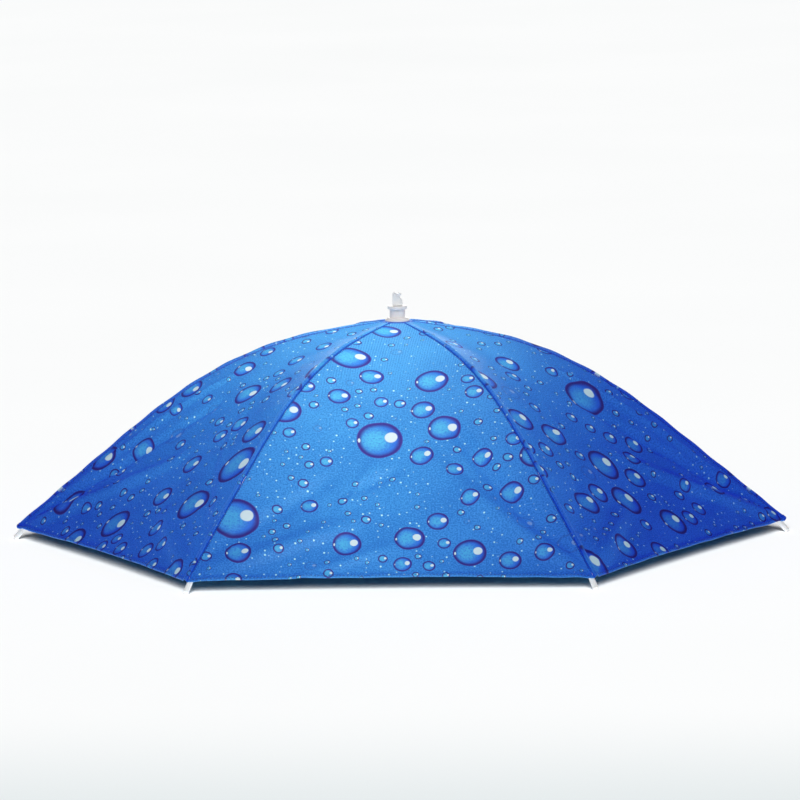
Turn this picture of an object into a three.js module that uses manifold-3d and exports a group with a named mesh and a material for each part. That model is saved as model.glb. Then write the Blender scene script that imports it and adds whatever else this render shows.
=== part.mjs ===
// Umbrella hat: a six-gore canopy on six bent ribs, standing open on its rib tips.
// Units are millimetres and +Z is up. The origin is on the floor under the hub.
// The front gore faces -Y, and the gores and ribs are numbered from there towards +X.
import * as THREE from "three";
import { mergeVertices } from "three/addons/utils/BufferGeometryUtils.js";
import Module from "manifold-3d";

// General
const TIP_RADIUS = 345; // hat axis to the outer edge of a rib tip
const GAP = 0.3; // clearance between two pieces that touch

// Bend of the ribs: their slope below the horizontal, eased between two shares of the reach
const HUB_SLOPE = 8.5;
const RIM_SLOPE = 39.7;
const BEND_START = 0.06;
const BEND_END = 0.76;
const BEND_STEPS = 160;

// Cloth
const CLOTH_WALL = 1;
const CLOTH_HOLE_CLEARANCE = 3; // from the post to the edge of the cloth round it
const CLOTH_SAG = 6; // how far the middle of a gore is pulled in from the flat between its ribs
const HEM_SCALLOP = 3; // how far the middle of the hem curves up from its corners
const HEM_WIDTH = 3.5;
const HEM_STEP = 0.7; // width of the slope from the cloth up to the folded hem
const HEM_RISE = 0.5;
const SEAM_WIDTH = 4.6; // the folded seam allowance that lies along a rib
const SEAM_STEP = 1.2; // width of the slope from the cloth up to the seam's crest
const SEAM_RISE = 1.1;
const SEAM_ROOM = 0.8; // most that the seam may fill of the outer column, where a gore is narrow
const FOLD_LIFT = 2.4; // height of the deepest soft fold
const FOLD_FADE = 0.15; // share of a fold's line over which it dies away at each end
const GORE_ROWS = 12;
const GORE_COLUMNS = 10;

// Ribs and their tips
const RIB_DIAMETER = 2.4;
const RIB_START_RADIUS = 7.4;
const RIB_STEPS = 18;
const RIB_LEAD_LENGTH = 7; // straight stretch of a rib behind its tip
const RIB_STRAIGHT_LENGTH = 25; // from the shoulder back to where a rib leaves the cloth's curve
const TIP_SLOPE = 48;
const TIP_EXPOSED = 9.5;
const TIP_SLEEVE_WALL = 0.7;
const TIP_SLEEVE_LENGTH = 5.5;
const TIP_SHOULDER = 0.2; // step out from the sleeve to the part that shows
const TIP_END_WALL = 3;
const TIP_CHAMFER = 0.5;

// Cap above the cloth
const CAP_FLANGE_DIAMETER = 21.8;
const CAP_FLANGE_THICKNESS = 3;
const CAP_FLANGE_RIM = 1.2;
const CAP_FLANGE_TAPER = 2.1;
const CAP_NECK_DIAMETER = 13.6;
const CAP_NECK_HEIGHT = 7.8;
const CAP_COLLAR_OVERHANG = 1.8;
const CAP_COLLAR_THICKNESS = 2.7;
const CAP_CHAMFER = 0.4;

// Hub under the cloth
const HUB_DIAMETER = 20;
const HUB_HEIGHT = 9;
const HUB_SLOT_DEPTH = 5;

// Snap post: a shaft through cap, hub and runner, with a split tongue on top
const POST_DIAMETER = 6;
const POST_BUTTON_DIAMETER = 10;
const POST_BUTTON_HEIGHT = 2.4;
const TONGUE_WIDTH = 8.8;
const TONGUE_HEIGHT = 11.6;
const TONGUE_DEPTH = 6.4;
const TONGUE_OFFSET = 0.4;

// Runner, and the struts that hold the ribs out
const RUNNER_DROP = 30; // underside of the hub to the top of the runner
const RUNNER_DIAMETER = 21;
const RUNNER_HEIGHT = 9;
const RUNNER_SLOT_FLOOR = 2;
const STRUT_THICKNESS = 1.6;
const STRUT_WIDTH = 3;
const STRUT_START_RADIUS = 6.4;
const PIN_DIAMETER = 2;
const EYE_WALL = 1.4;
const PIN_OVERHANG = 0.7;

// Saddles on the ribs
const JOINT_RADIUS = 112;
const JOINT_LENGTH = 9;
const JOINT_CHEEK = 1.5;
const JOINT_LIP = 0.5;
const JOINT_FLOOR = 1.4;
const JOINT_FIN_THICKNESS = 2;

// Head band and the clips that hold it
const BAND_INNER_DIAMETER = 184;
const BAND_THICKNESS = 2;
const BAND_HEIGHT = 28;
const BAND_BOTTOM = 45;
const BAND_CHAMFER = 0.5;
const CLIP_WIDTH = 10;
const CLIP_THICKNESS = 1.6;
const CLIP_OUTER_LENGTH = 20;
const CLIP_INNER_LENGTH = 9;

// Numbers of sides of the faceted rounds
const ROD_SIDES = 6;
const SMALL_SIDES = 10;
const ROUND_SIDES = 24;
const BAND_SIDES = 44;

// Outline of the tongue seen from the front, as shares of its width and height
const TONGUE_OUTLINE = [
  { across: -0.5, up: 0 },
  { across: 0.5, up: 0 },
  { across: 0.43, up: 0.44 },
  { across: 0.22, up: 0.56 },
  { across: 0.22, up: 0.76 },
  { across: 0.38, up: 0.82 },
  { across: 0.38, up: 0.9 },
  { across: 0.12, up: 1 },
  { across: 0.06, up: 0.7 },
  { across: -0.16, up: 0.7 },
  { across: -0.22, up: 1 },
  { across: -0.4, up: 1 },
  { across: -0.5, up: 0.9 },
];

// Soft folds of a gore: ridges from one point to another, with across running from -1 at the left
// rib to 1 at the right rib, down from 0 at the cap to 1 at the hem, and the width as a share of
// the reach. The lift is a share of the deepest fold, and below zero it is a hollow.
const FRONT_FOLDS = [
  { across: 0.95, down: 0.99, toAcross: 0.28, toDown: 0.66, width: 0.055, lift: 0.9 },
  { across: 0.9, down: 0.9, toAcross: 0.52, toDown: 0.58, width: 0.06, lift: -0.75 },
  { across: -0.95, down: 0.98, toAcross: -0.2, toDown: 0.84, width: 0.05, lift: 0.65 },
  { across: -0.32, down: 0.82, toAcross: -0.14, toDown: 0.68, width: 0.03, lift: 0.5 },
];
const SIDE_FOLDS = [
  { across: 0.95, down: 0.99, toAcross: 0.1, toDown: 0.72, width: 0.05, lift: 1 },
  { across: 0.97, down: 0.95, toAcross: 0.34, toDown: 0.56, width: 0.05, lift: -0.85 },
  { across: 0.97, down: 0.88, toAcross: 0.62, toDown: 0.42, width: 0.045, lift: 0.65 },
  { across: -0.95, down: 0.98, toAcross: -0.3, toDown: 0.86, width: 0.045, lift: 0.6 },
];

// The gores in order round the hat, from the front towards +X. A mirror of -1 swaps left and right
// of the folds, and the lap columns say on which edges a gore carries the seam allowance.
const GORES = [
  { folds: FRONT_FOLDS, mirror: 1, lapLeft: false, lapRight: false },
  { folds: SIDE_FOLDS, mirror: 1, lapLeft: true, lapRight: false },
  { folds: SIDE_FOLDS, mirror: -1, lapLeft: true, lapRight: false },
  { folds: FRONT_FOLDS, mirror: -1, lapLeft: true, lapRight: true },
  { folds: SIDE_FOLDS, mirror: 1, lapLeft: false, lapRight: true },
  { folds: SIDE_FOLDS, mirror: -1, lapLeft: false, lapRight: true },
];

const wasm = await Module();
wasm.setup();

const FINISHES = {
  cloth: { color: 0x2f78d2, roughness: 0.6, metalness: 0, side: THREE.DoubleSide },
  plastic: { color: 0xe2e2e6, roughness: 0.45, metalness: 0 },
  clear: { color: 0xe9ebe9, roughness: 0.15, metalness: 0, transparent: true, opacity: 0.7 },
  steel: { color: 0xb9bcc0, roughness: 0.35, metalness: 0.9 },
  elastic: { color: 0x23252b, roughness: 0.9, metalness: 0 },
};

const radians = THREE.MathUtils.degToRad;
const goreTurn = (2 * Math.PI) / GORES.length;
const halfGore = goreTurn / 2;

// The turn about +Z that takes a piece made along +X to its place, counted in gores from the front
function facing(gores) {
  return gores * goreTurn - Math.PI / 2;
}

function named(name, geometry, finish) {
  const mesh = new THREE.Mesh(geometry, new THREE.MeshStandardMaterial(FINISHES[finish]));
  mesh.name = name;
  return mesh;
}

// Closed geometry as a solid that can be joined and cut
function solidOf(geometry) {
  const bare = geometry.clone();
  bare.deleteAttribute("normal");
  bare.deleteAttribute("uv");
  const merged = mergeVertices(bare);
  const mesh = new wasm.Mesh({
    numProp: 3,
    vertProperties: merged.attributes.position.array,
    triVerts: new Uint32Array(merged.index.array),
  });
  return new wasm.Manifold(mesh);
}

function geometryOf(solid) {
  const mesh = solid.getMesh();
  const geometry = new THREE.BufferGeometry();
  geometry.setAttribute("position", new THREE.BufferAttribute(mesh.vertProperties, 3));
  geometry.setIndex(new THREE.BufferAttribute(mesh.triVerts, 1));
  geometry.computeVertexNormals();
  return geometry;
}

function joined(first, ...others) {
  const solid = others.reduce((sum, geometry) => sum.add(solidOf(geometry)), solidOf(first));
  return geometryOf(solid);
}

function cut(body, tools) {
  const solid = tools.reduce((rest, tool) => rest.subtract(solidOf(tool)), solidOf(body));
  return geometryOf(solid);
}

// A round turned about +Z from pairs of radius and height, with its first corner towards +X
function turned(profile, sides) {
  const points = profile.map(([radius, height]) => new THREE.Vector2(radius, height));
  return new THREE.LatheGeometry(points, sides, Math.PI / 2).rotateX(Math.PI / 2);
}

// A flat shape drawn in radius and height, given a thickness and centred sideways on an offset
function upright(shape, thickness, offset) {
  const geometry = new THREE.ExtrudeGeometry(shape, {
    depth: thickness,
    bevelEnabled: false,
    curveSegments: SMALL_SIDES / 2,
  });
  return geometry.rotateX(Math.PI / 2).translate(0, offset + thickness / 2, 0);
}

// Slope of the ribs at a radius, level where the cap clamps the cloth
function ribSlope(radius) {
  if (radius < clampRadius) return 0;
  const eased = THREE.MathUtils.smoothstep(radius / reach, BEND_START, BEND_END);
  return radians(HUB_SLOPE + (RIM_SLOPE - HUB_SLOPE) * eased);
}

// Height of the cloth over a rib, found by adding up the slope from the corner inwards
function clothHeight(radius) {
  const step = (reach - radius) / BEND_STEPS;
  let height = cornerHeight;
  for (let i = 0; i < BEND_STEPS; i += 1) {
    height += Math.tan(ribSlope(radius + (i + 0.5) * step)) * step;
  }
  return height;
}

// A point under the cloth of a rib, a depth below it, in the upright plane of the rib
function underCloth(radius, depth) {
  const slope = ribSlope(radius);
  const out = radius - depth * Math.sin(slope);
  return new THREE.Vector3(out, 0, clothHeight(radius) - depth * Math.cos(slope));
}

// A tip's sleeve takes the rib, and the tip stands on the lowest corner of its flat end
const tipBore = RIB_DIAMETER + 2 * GAP;
const sleeveDiameter = tipBore + 2 * TIP_SLEEVE_WALL;
const tipDiameter = sleeveDiameter + 2 * TIP_SHOULDER;
const tipSlope = radians(TIP_SLOPE);
const tipAxis = new THREE.Vector3(Math.cos(tipSlope), 0, -Math.sin(tipSlope));
const tipEnd = new THREE.Vector3(
  TIP_RADIUS - (tipDiameter / 2) * Math.sin(tipSlope) + TIP_CHAMFER * Math.cos(tipSlope),
  0,
  (tipDiameter / 2 - TIP_CHAMFER) * Math.cos(tipSlope),
);

// The two gores over a rib meet in a ridge, so what lies under it needs more depth than its radius
const ridgeShare = Math.hypot(1, Math.tan(radians(RIM_SLOPE)) * Math.tan(halfGore));
const ribDepth = CLOTH_WALL + (RIB_DIAMETER / 2 + GAP) * ridgeShare;
const sleeveDepth = CLOTH_WALL + (sleeveDiameter / 2 + GAP) * ridgeShare;
const shoulderDepth = sleeveDepth + TIP_SLEEVE_LENGTH * Math.sin(tipSlope - radians(RIM_SLOPE));

// The cloth ends over the shoulder of the tip
const shoulder = tipEnd.clone().addScaledVector(tipAxis, -TIP_EXPOSED);
const reach = shoulder.x + shoulderDepth * Math.sin(radians(RIM_SLOPE));
const cornerHeight = shoulder.z + shoulderDepth * Math.cos(radians(RIM_SLOPE));
const clampRadius = (HUB_DIAMETER / 2 + GAP) / Math.cos(halfGore);
const clothTop = clothHeight(clampRadius);

// Heights of the stack at the middle of the hat
const hubTop = clothTop - CLOTH_WALL - GAP;
const hubBottom = hubTop - HUB_HEIGHT;
const runnerTop = hubBottom - RUNNER_DROP;
const runnerBottom = runnerTop - RUNNER_HEIGHT;
const capBottom = clothTop + GAP;
const capTop = capBottom + CAP_FLANGE_THICKNESS + CAP_NECK_HEIGHT + CAP_COLLAR_THICKNESS;
const boreDiameter = POST_DIAMETER + 2 * GAP;
const holeRadius = POST_DIAMETER / 2 + CLOTH_HOLE_CLEARANCE;

// The pin lies under the saddle's block, and a strut runs on each side of the saddle's fin
const eyeDiameter = PIN_DIAMETER + 2 * GAP + 2 * EYE_WALL;
const pinDrop = RIB_DIAMETER / 2 + GAP + JOINT_FLOOR + GAP + eyeDiameter / 2;
const pinPlace = underCloth(JOINT_RADIUS, ribDepth + pinDrop);
const strutOffset = JOINT_FIN_THICKNESS / 2 + GAP + STRUT_THICKNESS / 2;

// How far a soft fold lifts the cloth at a point of the gore: most on its line, nothing at its width
function foldLift(fold, mirror, across, down, width) {
  const start = new THREE.Vector2(fold.across * mirror * width, fold.down * reach);
  const end = new THREE.Vector2(fold.toAcross * mirror * width, fold.toDown * reach);
  const point = new THREE.Vector2(across * width, down * reach);
  const line = end.clone().sub(start);
  const along = THREE.MathUtils.clamp(point.clone().sub(start).dot(line) / line.lengthSq(), 0, 1);
  const distance = start.addScaledVector(line, along).distanceTo(point);
  const near = 1 - THREE.MathUtils.smoothstep(distance / reach, 0, fold.width);
  const fade = Math.sin(Math.PI * (FOLD_FADE + (1 - 2 * FOLD_FADE) * along));
  return FOLD_LIFT * fold.lift * near * fade;
}

// Places across a gore: a share of its half width, less an inset from the seam in millimetres
function goreColumns() {
  const insets = [0, SEAM_WIDTH - SEAM_STEP, SEAM_WIDTH];
  const left = insets.map((inset) => ({ share: -1, inset }));
  const right = insets.toReversed().map((inset) => ({ share: 1, inset }));
  const middle = [];
  for (let i = 1; i < GORE_COLUMNS; i += 1) {
    middle.push({ share: (2 * i) / GORE_COLUMNS - 1, inset: 0 });
  }
  return [...left, ...middle, ...right];
}

// Places down a gore: radii under the cap, then shares of the way out, then the edge of the hem
function goreRows(scallop) {
  const rim = reach - scallop;
  const rows = [holeRadius, clampRadius];
  for (let i = 1; i < GORE_ROWS; i += 1) {
    rows.push(clampRadius + ((rim - HEM_WIDTH - clampRadius) * i) / GORE_ROWS);
  }
  rows.push(rim - HEM_WIDTH, rim - HEM_WIDTH + HEM_STEP, rim);
  return rows;
}

// Upper and lower point of a gore, with its middle along +X
function gorePoints(gore, column, row) {
  const bulge = 1 - column.share ** 2;
  const rows = goreRows(HEM_SCALLOP * bulge);
  const radius = rows[row];
  const half = radius * Math.sin(halfGore) - GAP / 2 / Math.cos(halfGore);
  const room = half * (2 / GORE_COLUMNS) * SEAM_ROOM;
  const inset = column.inset * Math.min(1, room / SEAM_WIDTH);
  const side = Math.sign(column.share) * (Math.abs(column.share) * half - inset);
  const across = side / half;
  const down = Math.max(0, (radius - clampRadius) / (reach - clampRadius));
  const lapped = (across < 0 ? gore.lapLeft : gore.lapRight) && column.inset < SEAM_WIDTH;
  const onSeam = lapped && Math.abs(column.share) === 1 && row > 1;
  const onHem = row > rows.length - 3;
  const width = reach * Math.sin(halfGore);
  const edge = Math.min(1, (half - Math.abs(side)) / SEAM_WIDTH);
  const folds = gore.folds.reduce(
    (sum, fold) => sum + foldLift(fold, gore.mirror, across, down, width),
    0,
  );
  const taut = (1 - across ** 2) ** 2 * Math.sin(Math.PI * down) * CLOTH_SAG;
  const base = folds * edge - taut;
  const lift = base + (onSeam ? SEAM_RISE : 0) + (onHem && !onSeam ? HEM_RISE : 0);
  const slope = ribSlope(radius);
  const turn = across * halfGore;
  const outward = new THREE.Vector3(
    Math.sin(slope) * Math.cos(turn),
    Math.sin(slope) * Math.sin(turn),
    Math.cos(slope),
  );
  const flat = new THREE.Vector3(radius * Math.cos(halfGore), side, clothHeight(radius));
  return {
    upper: flat.clone().addScaledVector(outward, lift),
    lower: flat.clone().addScaledVector(outward, base - CLOTH_WALL),
  };
}

// One gore of cloth as a closed sheet: upper side, lower side and the four edges between them
function goreGeometry(gore) {
  const columns = goreColumns();
  const rowCount = goreRows(0).length;
  const positions = [];
  columns.forEach((column) => {
    for (let row = 0; row < rowCount; row += 1) {
      const { upper, lower } = gorePoints(gore, column, row);
      positions.push(...upper.toArray(), ...lower.toArray());
    }
  });
  const upperAt = (column, row) => 2 * (column * rowCount + row);
  const lowerAt = (column, row) => upperAt(column, row) + 1;
  const faces = [];
  const quad = (a, b, c, d) => faces.push(a, b, c, a, c, d);
  for (let c = 0; c + 1 < columns.length; c += 1) {
    for (let r = 0; r + 1 < rowCount; r += 1) {
      quad(upperAt(c, r), upperAt(c, r + 1), upperAt(c + 1, r + 1), upperAt(c + 1, r));
      quad(lowerAt(c, r), lowerAt(c + 1, r), lowerAt(c + 1, r + 1), lowerAt(c, r + 1));
    }
    const last = rowCount - 1;
    quad(upperAt(c, 0), upperAt(c + 1, 0), lowerAt(c + 1, 0), lowerAt(c, 0));
    quad(upperAt(c + 1, last), upperAt(c, last), lowerAt(c, last), lowerAt(c + 1, last));
  }
  for (let r = 0; r + 1 < rowCount; r += 1) {
    const last = columns.length - 1;
    quad(upperAt(0, r + 1), upperAt(0, r), lowerAt(0, r), lowerAt(0, r + 1));
    quad(upperAt(last, r), upperAt(last, r + 1), lowerAt(last, r + 1), lowerAt(last, r));
  }
  const geometry = new THREE.BufferGeometry();
  geometry.setAttribute("position", new THREE.Float32BufferAttribute(positions, 3));
  geometry.setIndex(faces);
  geometry.computeVertexNormals();
  return geometry;
}

function canopyPanel(gore, index) {
  const mesh = named(`canopy_panel_${index + 1}`, goreGeometry(gore), "cloth");
  mesh.rotation.z = facing(index);
  return mesh;
}

// A rib follows the cloth, then runs straight into the bore of its tip
function ribGeometry() {
  const last = shoulder.x - RIB_STRAIGHT_LENGTH - TIP_SLEEVE_LENGTH;
  const path = [];
  for (let i = 0; i <= RIB_STEPS; i += 1) {
    const radius = RIB_START_RADIUS + ((last - RIB_START_RADIUS) * i) / RIB_STEPS;
    path.push(underCloth(radius, ribDepth));
  }
  const tipLength = TIP_EXPOSED + TIP_SLEEVE_LENGTH;
  [tipLength + RIB_LEAD_LENGTH, tipLength, TIP_END_WALL + GAP].forEach((distance) => {
    path.push(tipEnd.clone().addScaledVector(tipAxis, -distance));
  });
  const section = new THREE.Shape().absarc(0, 0, RIB_DIAMETER / 2, 0, 2 * Math.PI);
  return new THREE.ExtrudeGeometry(section, {
    steps: RIB_STEPS,
    bevelEnabled: false,
    curveSegments: ROD_SIDES / 2,
    extrudePath: new THREE.CatmullRomCurve3(path),
  });
}

// A tip: solid end, shoulder, and a sleeve under the cloth that the rib is pushed into
function tipGeometry() {
  const outer = tipDiameter / 2;
  const bore = tipBore / 2;
  const length = TIP_EXPOSED + TIP_SLEEVE_LENGTH;
  const profile = [
    [0, 0],
    [outer - TIP_CHAMFER, 0],
    [outer, TIP_CHAMFER],
    [outer, TIP_EXPOSED],
    [sleeveDiameter / 2, TIP_EXPOSED],
    [sleeveDiameter / 2, length],
    [bore, length],
    [bore, TIP_END_WALL],
    [0, TIP_END_WALL],
  ];
  const up = new THREE.Vector3(0, 0, 1);
  const turn = new THREE.Quaternion().setFromUnitVectors(up, tipAxis.clone().negate());
  const geometry = turned(profile, SMALL_SIDES).applyQuaternion(turn);
  return geometry.translate(...tipEnd.toArray());
}

// The cap: flange on the cloth, neck and collar, with a bore for the post
function capGeometry() {
  const bore = boreDiameter / 2;
  const flangeTop = capBottom + CAP_FLANGE_THICKNESS;
  const neckTop = flangeTop + CAP_NECK_HEIGHT;
  const neck = CAP_NECK_DIAMETER / 2;
  const collar = neck + CAP_COLLAR_OVERHANG;
  const profile = [
    [bore, capBottom],
    [CAP_FLANGE_DIAMETER / 2, capBottom],
    [CAP_FLANGE_DIAMETER / 2, capBottom + CAP_FLANGE_RIM],
    [CAP_FLANGE_DIAMETER / 2 - CAP_FLANGE_TAPER, flangeTop],
    [neck, flangeTop],
    [neck, neckTop],
    [collar, neckTop],
    [collar, capTop - CAP_CHAMFER],
    [collar - CAP_CHAMFER, capTop],
    [bore, capTop],
    [bore, capBottom],
  ];
  return turned(profile, ROUND_SIDES);
}

// The hub: a round crown with one open slot for each rib
function hubGeometry() {
  const outer = HUB_DIAMETER / 2;
  const bore = boreDiameter / 2;
  const profile = [
    [bore, hubBottom],
    [outer, hubBottom],
    [outer, hubTop],
    [bore, hubTop],
    [bore, hubBottom],
  ];
  const start = RIB_START_RADIUS - GAP;
  const slotWidth = RIB_DIAMETER + 2 * GAP;
  const slots = GORES.map((_, index) => {
    const slot = new THREE.BoxGeometry(outer, slotWidth, 2 * HUB_SLOT_DEPTH);
    return slot.translate(start + outer / 2, 0, hubTop).rotateZ(ribFacing(index));
  });
  return cut(turned(profile, ROUND_SIDES), slots);
}

// The runner: a crown on the post, slotted beside each rib's plane for its strut
function runnerGeometry() {
  const outer = RUNNER_DIAMETER / 2;
  const bore = boreDiameter / 2;
  const profile = [
    [bore, runnerBottom],
    [outer, runnerBottom],
    [outer, runnerTop],
    [bore, runnerTop],
    [bore, runnerBottom],
  ];
  const slotDepth = RUNNER_HEIGHT - RUNNER_SLOT_FLOOR;
  const start = STRUT_START_RADIUS - GAP;
  const slots = GORES.map((_, index) => {
    const slot = new THREE.BoxGeometry(outer, STRUT_THICKNESS + 2 * GAP, 2 * slotDepth);
    return slot.translate(start + outer / 2, strutOffset, runnerTop).rotateZ(ribFacing(index));
  });
  return cut(turned(profile, ROUND_SIDES), slots);
}

// The post: button under the runner, shaft, and the split tongue that shows above the cap
function postGeometry() {
  const shaft = POST_DIAMETER / 2;
  const button = POST_BUTTON_DIAMETER / 2;
  const buttonTop = runnerBottom - GAP;
  const tongueBottom = capTop + GAP;
  const profile = [
    [0, buttonTop - POST_BUTTON_HEIGHT],
    [button, buttonTop - POST_BUTTON_HEIGHT],
    [button, buttonTop],
    [shaft, buttonTop],
    [shaft, tongueBottom + TONGUE_HEIGHT / 2],
    [0, tongueBottom + TONGUE_HEIGHT / 2],
  ];
  const outline = TONGUE_OUTLINE.map(
    ({ across, up }) =>
      new THREE.Vector2(across * TONGUE_WIDTH + TONGUE_OFFSET, tongueBottom + up * TONGUE_HEIGHT),
  );
  const tongue = upright(new THREE.Shape(outline), TONGUE_DEPTH, 0);
  return joined(turned(profile, SMALL_SIDES), tongue);
}

// The saddle: a groove that grips the rib from below, a fin, and a pin across the fin
function saddleGeometry() {
  const groove = RIB_DIAMETER / 2 + GAP;
  const lipAngle = Math.asin(JOINT_LIP / groove);
  const block = groove + JOINT_CHEEK;
  const fin = JOINT_FIN_THICKNESS / 2;
  const blockBottom = -(groove + JOINT_FLOOR);
  const shape = new THREE.Shape();
  shape.moveTo(block, JOINT_LIP);
  shape.lineTo(groove * Math.cos(lipAngle), JOINT_LIP);
  shape.absarc(0, 0, groove, lipAngle, -Math.PI - lipAngle, true);
  shape.lineTo(-block, JOINT_LIP);
  shape.lineTo(-block, blockBottom);
  shape.lineTo(-fin, blockBottom);
  shape.lineTo(-fin, -pinDrop - eyeDiameter / 2);
  shape.lineTo(fin, -pinDrop - eyeDiameter / 2);
  shape.lineTo(fin, blockBottom);
  shape.lineTo(block, blockBottom);
  const body = new THREE.ExtrudeGeometry(shape, {
    depth: JOINT_LENGTH,
    bevelEnabled: false,
    curveSegments: ROD_SIDES,
  });
  body.translate(0, 0, -JOINT_LENGTH / 2).rotateX(Math.PI / 2).rotateZ(Math.PI / 2);
  const pin = new THREE.CylinderGeometry(
    PIN_DIAMETER / 2,
    PIN_DIAMETER / 2,
    2 * (fin + GAP + STRUT_THICKNESS + PIN_OVERHANG),
    ROD_SIDES,
  );
  const geometry = joined(body, pin.translate(0, 0, -pinDrop));
  const axis = underCloth(JOINT_RADIUS, ribDepth);
  return geometry.rotateY(ribSlope(JOINT_RADIUS)).translate(...axis.toArray());
}

// A flat bar from a plain round end to an eye, drawn in radius and height
function barShape(start, eye) {
  const half = STRUT_WIDTH / 2;
  const along = Math.atan2(eye.z - start.z, eye.x - start.x);
  const neck = Math.asin(half / (eyeDiameter / 2));
  const shape = new THREE.Shape();
  shape.absarc(start.x, start.z, half, along + Math.PI / 2, along + 1.5 * Math.PI, false);
  shape.absarc(
    eye.x,
    eye.z,
    eyeDiameter / 2,
    along - Math.PI + neck,
    along + Math.PI - neck,
    false,
  );
  const hole = new THREE.Path();
  hole.absarc(eye.x, eye.z, PIN_DIAMETER / 2 + GAP, 0, 2 * Math.PI, true);
  shape.holes.push(hole);
  return shape;
}

function strutGeometry() {
  const start = new THREE.Vector3(
    STRUT_START_RADIUS + STRUT_WIDTH / 2,
    0,
    runnerBottom + RUNNER_SLOT_FLOOR + GAP + STRUT_WIDTH / 2,
  );
  return upright(barShape(start, pinPlace), STRUT_THICKNESS, strutOffset);
}

// A hook over the band's upper edge, drawn in radius and height
function clipShape() {
  const outerFace = BAND_INNER_DIAMETER / 2 + BAND_THICKNESS + GAP;
  const reachAside = strutOffset + CLIP_WIDTH / 2;
  const facet = Math.cos(Math.PI / BAND_SIDES);
  const innerFace = Math.sqrt((BAND_INNER_DIAMETER / 2) ** 2 - reachAside ** 2) * facet - GAP;
  const under = BAND_BOTTOM + BAND_HEIGHT + GAP;
  const shape = new THREE.Shape();
  shape.moveTo(outerFace, under - CLIP_OUTER_LENGTH);
  shape.lineTo(outerFace + CLIP_THICKNESS, under - CLIP_OUTER_LENGTH);
  shape.lineTo(outerFace + CLIP_THICKNESS, under + CLIP_THICKNESS);
  shape.lineTo(innerFace - CLIP_THICKNESS, under + CLIP_THICKNESS);
  shape.lineTo(innerFace - CLIP_THICKNESS, under - CLIP_INNER_LENGTH);
  shape.lineTo(innerFace, under - CLIP_INNER_LENGTH);
  shape.lineTo(innerFace, under);
  shape.lineTo(outerFace, under);
  return shape;
}

// An arm: a flat bar down from the saddle's pin, ending in a clip on the head band
function armGeometry() {
  const bandOuter = BAND_INNER_DIAMETER / 2 + BAND_THICKNESS;
  const foot = new THREE.Vector3(
    bandOuter + GAP,
    0,
    BAND_BOTTOM + BAND_HEIGHT + GAP + CLIP_THICKNESS,
  );
  const bar = upright(barShape(foot, pinPlace), STRUT_THICKNESS, -strutOffset);
  const clip = upright(clipShape(), CLIP_WIDTH, -strutOffset);
  return joined(bar, clip);
}

function bandGeometry() {
  const inner = BAND_INNER_DIAMETER / 2;
  const outer = inner + BAND_THICKNESS;
  const top = BAND_BOTTOM + BAND_HEIGHT;
  const profile = [
    [inner, BAND_BOTTOM],
    [outer - BAND_CHAMFER, BAND_BOTTOM],
    [outer, BAND_BOTTOM + BAND_CHAMFER],
    [outer, top - BAND_CHAMFER],
    [outer - BAND_CHAMFER, top],
    [inner, top],
    [inner, BAND_BOTTOM],
  ];
  return turned(profile, BAND_SIDES);
}

// A rib lies at the left edge of the gore with its index
function ribFacing(index) {
  return facing(index - 0.5);
}

// The pieces that every rib carries, in the upright plane of that rib
function ribStation(index) {
  const number = index + 1;
  const station = new THREE.Group();
  station.rotation.z = ribFacing(index);
  station.add(named(`rib_${number}`, ribGeometry(), "steel"));
  station.add(named(`rib_tip_${number}`, tipGeometry(), "plastic"));
  station.add(named(`rib_joint_${number}`, saddleGeometry(), "plastic"));
  station.add(named(`stretcher_${number}`, strutGeometry(), "steel"));
  station.add(named(`band_arm_${number}`, armGeometry(), "plastic"));
  return station;
}

const hat = new THREE.Group();
GORES.forEach((gore, index) => hat.add(canopyPanel(gore, index), ribStation(index)));
hat.add(named("canopy_cap", capGeometry(), "plastic"));
hat.add(named("top_hub", hubGeometry(), "plastic"));
hat.add(named("snap_post", postGeometry(), "clear"));
hat.add(named("runner", runnerGeometry(), "plastic"));
hat.add(named("headband", bandGeometry(), "elastic"));

export default hat;
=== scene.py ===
"""Umbrella hat: a printed six-gore canopy standing open on its rib tips.

Everything is in metres in the frame of the solids: +Z up, the floor at z = 0 under the hub, the
front gore towards -Y, and the gores and ribs numbered from there towards +X.
"""

import math

import bmesh
import bpy
import numpy as np
from mathutils import Matrix, Quaternion, Vector


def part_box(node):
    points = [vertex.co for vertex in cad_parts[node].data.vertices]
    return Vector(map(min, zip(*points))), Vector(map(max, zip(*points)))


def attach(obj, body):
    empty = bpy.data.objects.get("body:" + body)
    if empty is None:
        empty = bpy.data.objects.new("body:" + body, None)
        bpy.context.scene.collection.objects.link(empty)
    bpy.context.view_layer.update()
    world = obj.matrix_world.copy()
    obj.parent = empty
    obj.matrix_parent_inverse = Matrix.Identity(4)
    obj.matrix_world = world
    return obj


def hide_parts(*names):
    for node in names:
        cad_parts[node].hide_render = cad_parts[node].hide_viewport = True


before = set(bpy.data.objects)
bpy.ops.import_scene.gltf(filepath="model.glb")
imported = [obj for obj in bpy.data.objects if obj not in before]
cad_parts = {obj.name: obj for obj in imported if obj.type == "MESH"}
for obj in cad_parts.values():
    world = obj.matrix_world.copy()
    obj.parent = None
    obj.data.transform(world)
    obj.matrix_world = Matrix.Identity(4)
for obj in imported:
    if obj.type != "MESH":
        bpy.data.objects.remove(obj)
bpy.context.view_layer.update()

MM = 0.001
GAP = 0.3 * MM  # clearance between two pieces that touch
SAME_POINT = 1e-7  # two points closer than this are one
SAME_SOLID_POINT = 2e-6  # the same for the points of a solid, which are stored more coarsely
FLAT_ANGLE = math.radians(1)  # faces of a solid within this are one flat face

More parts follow.
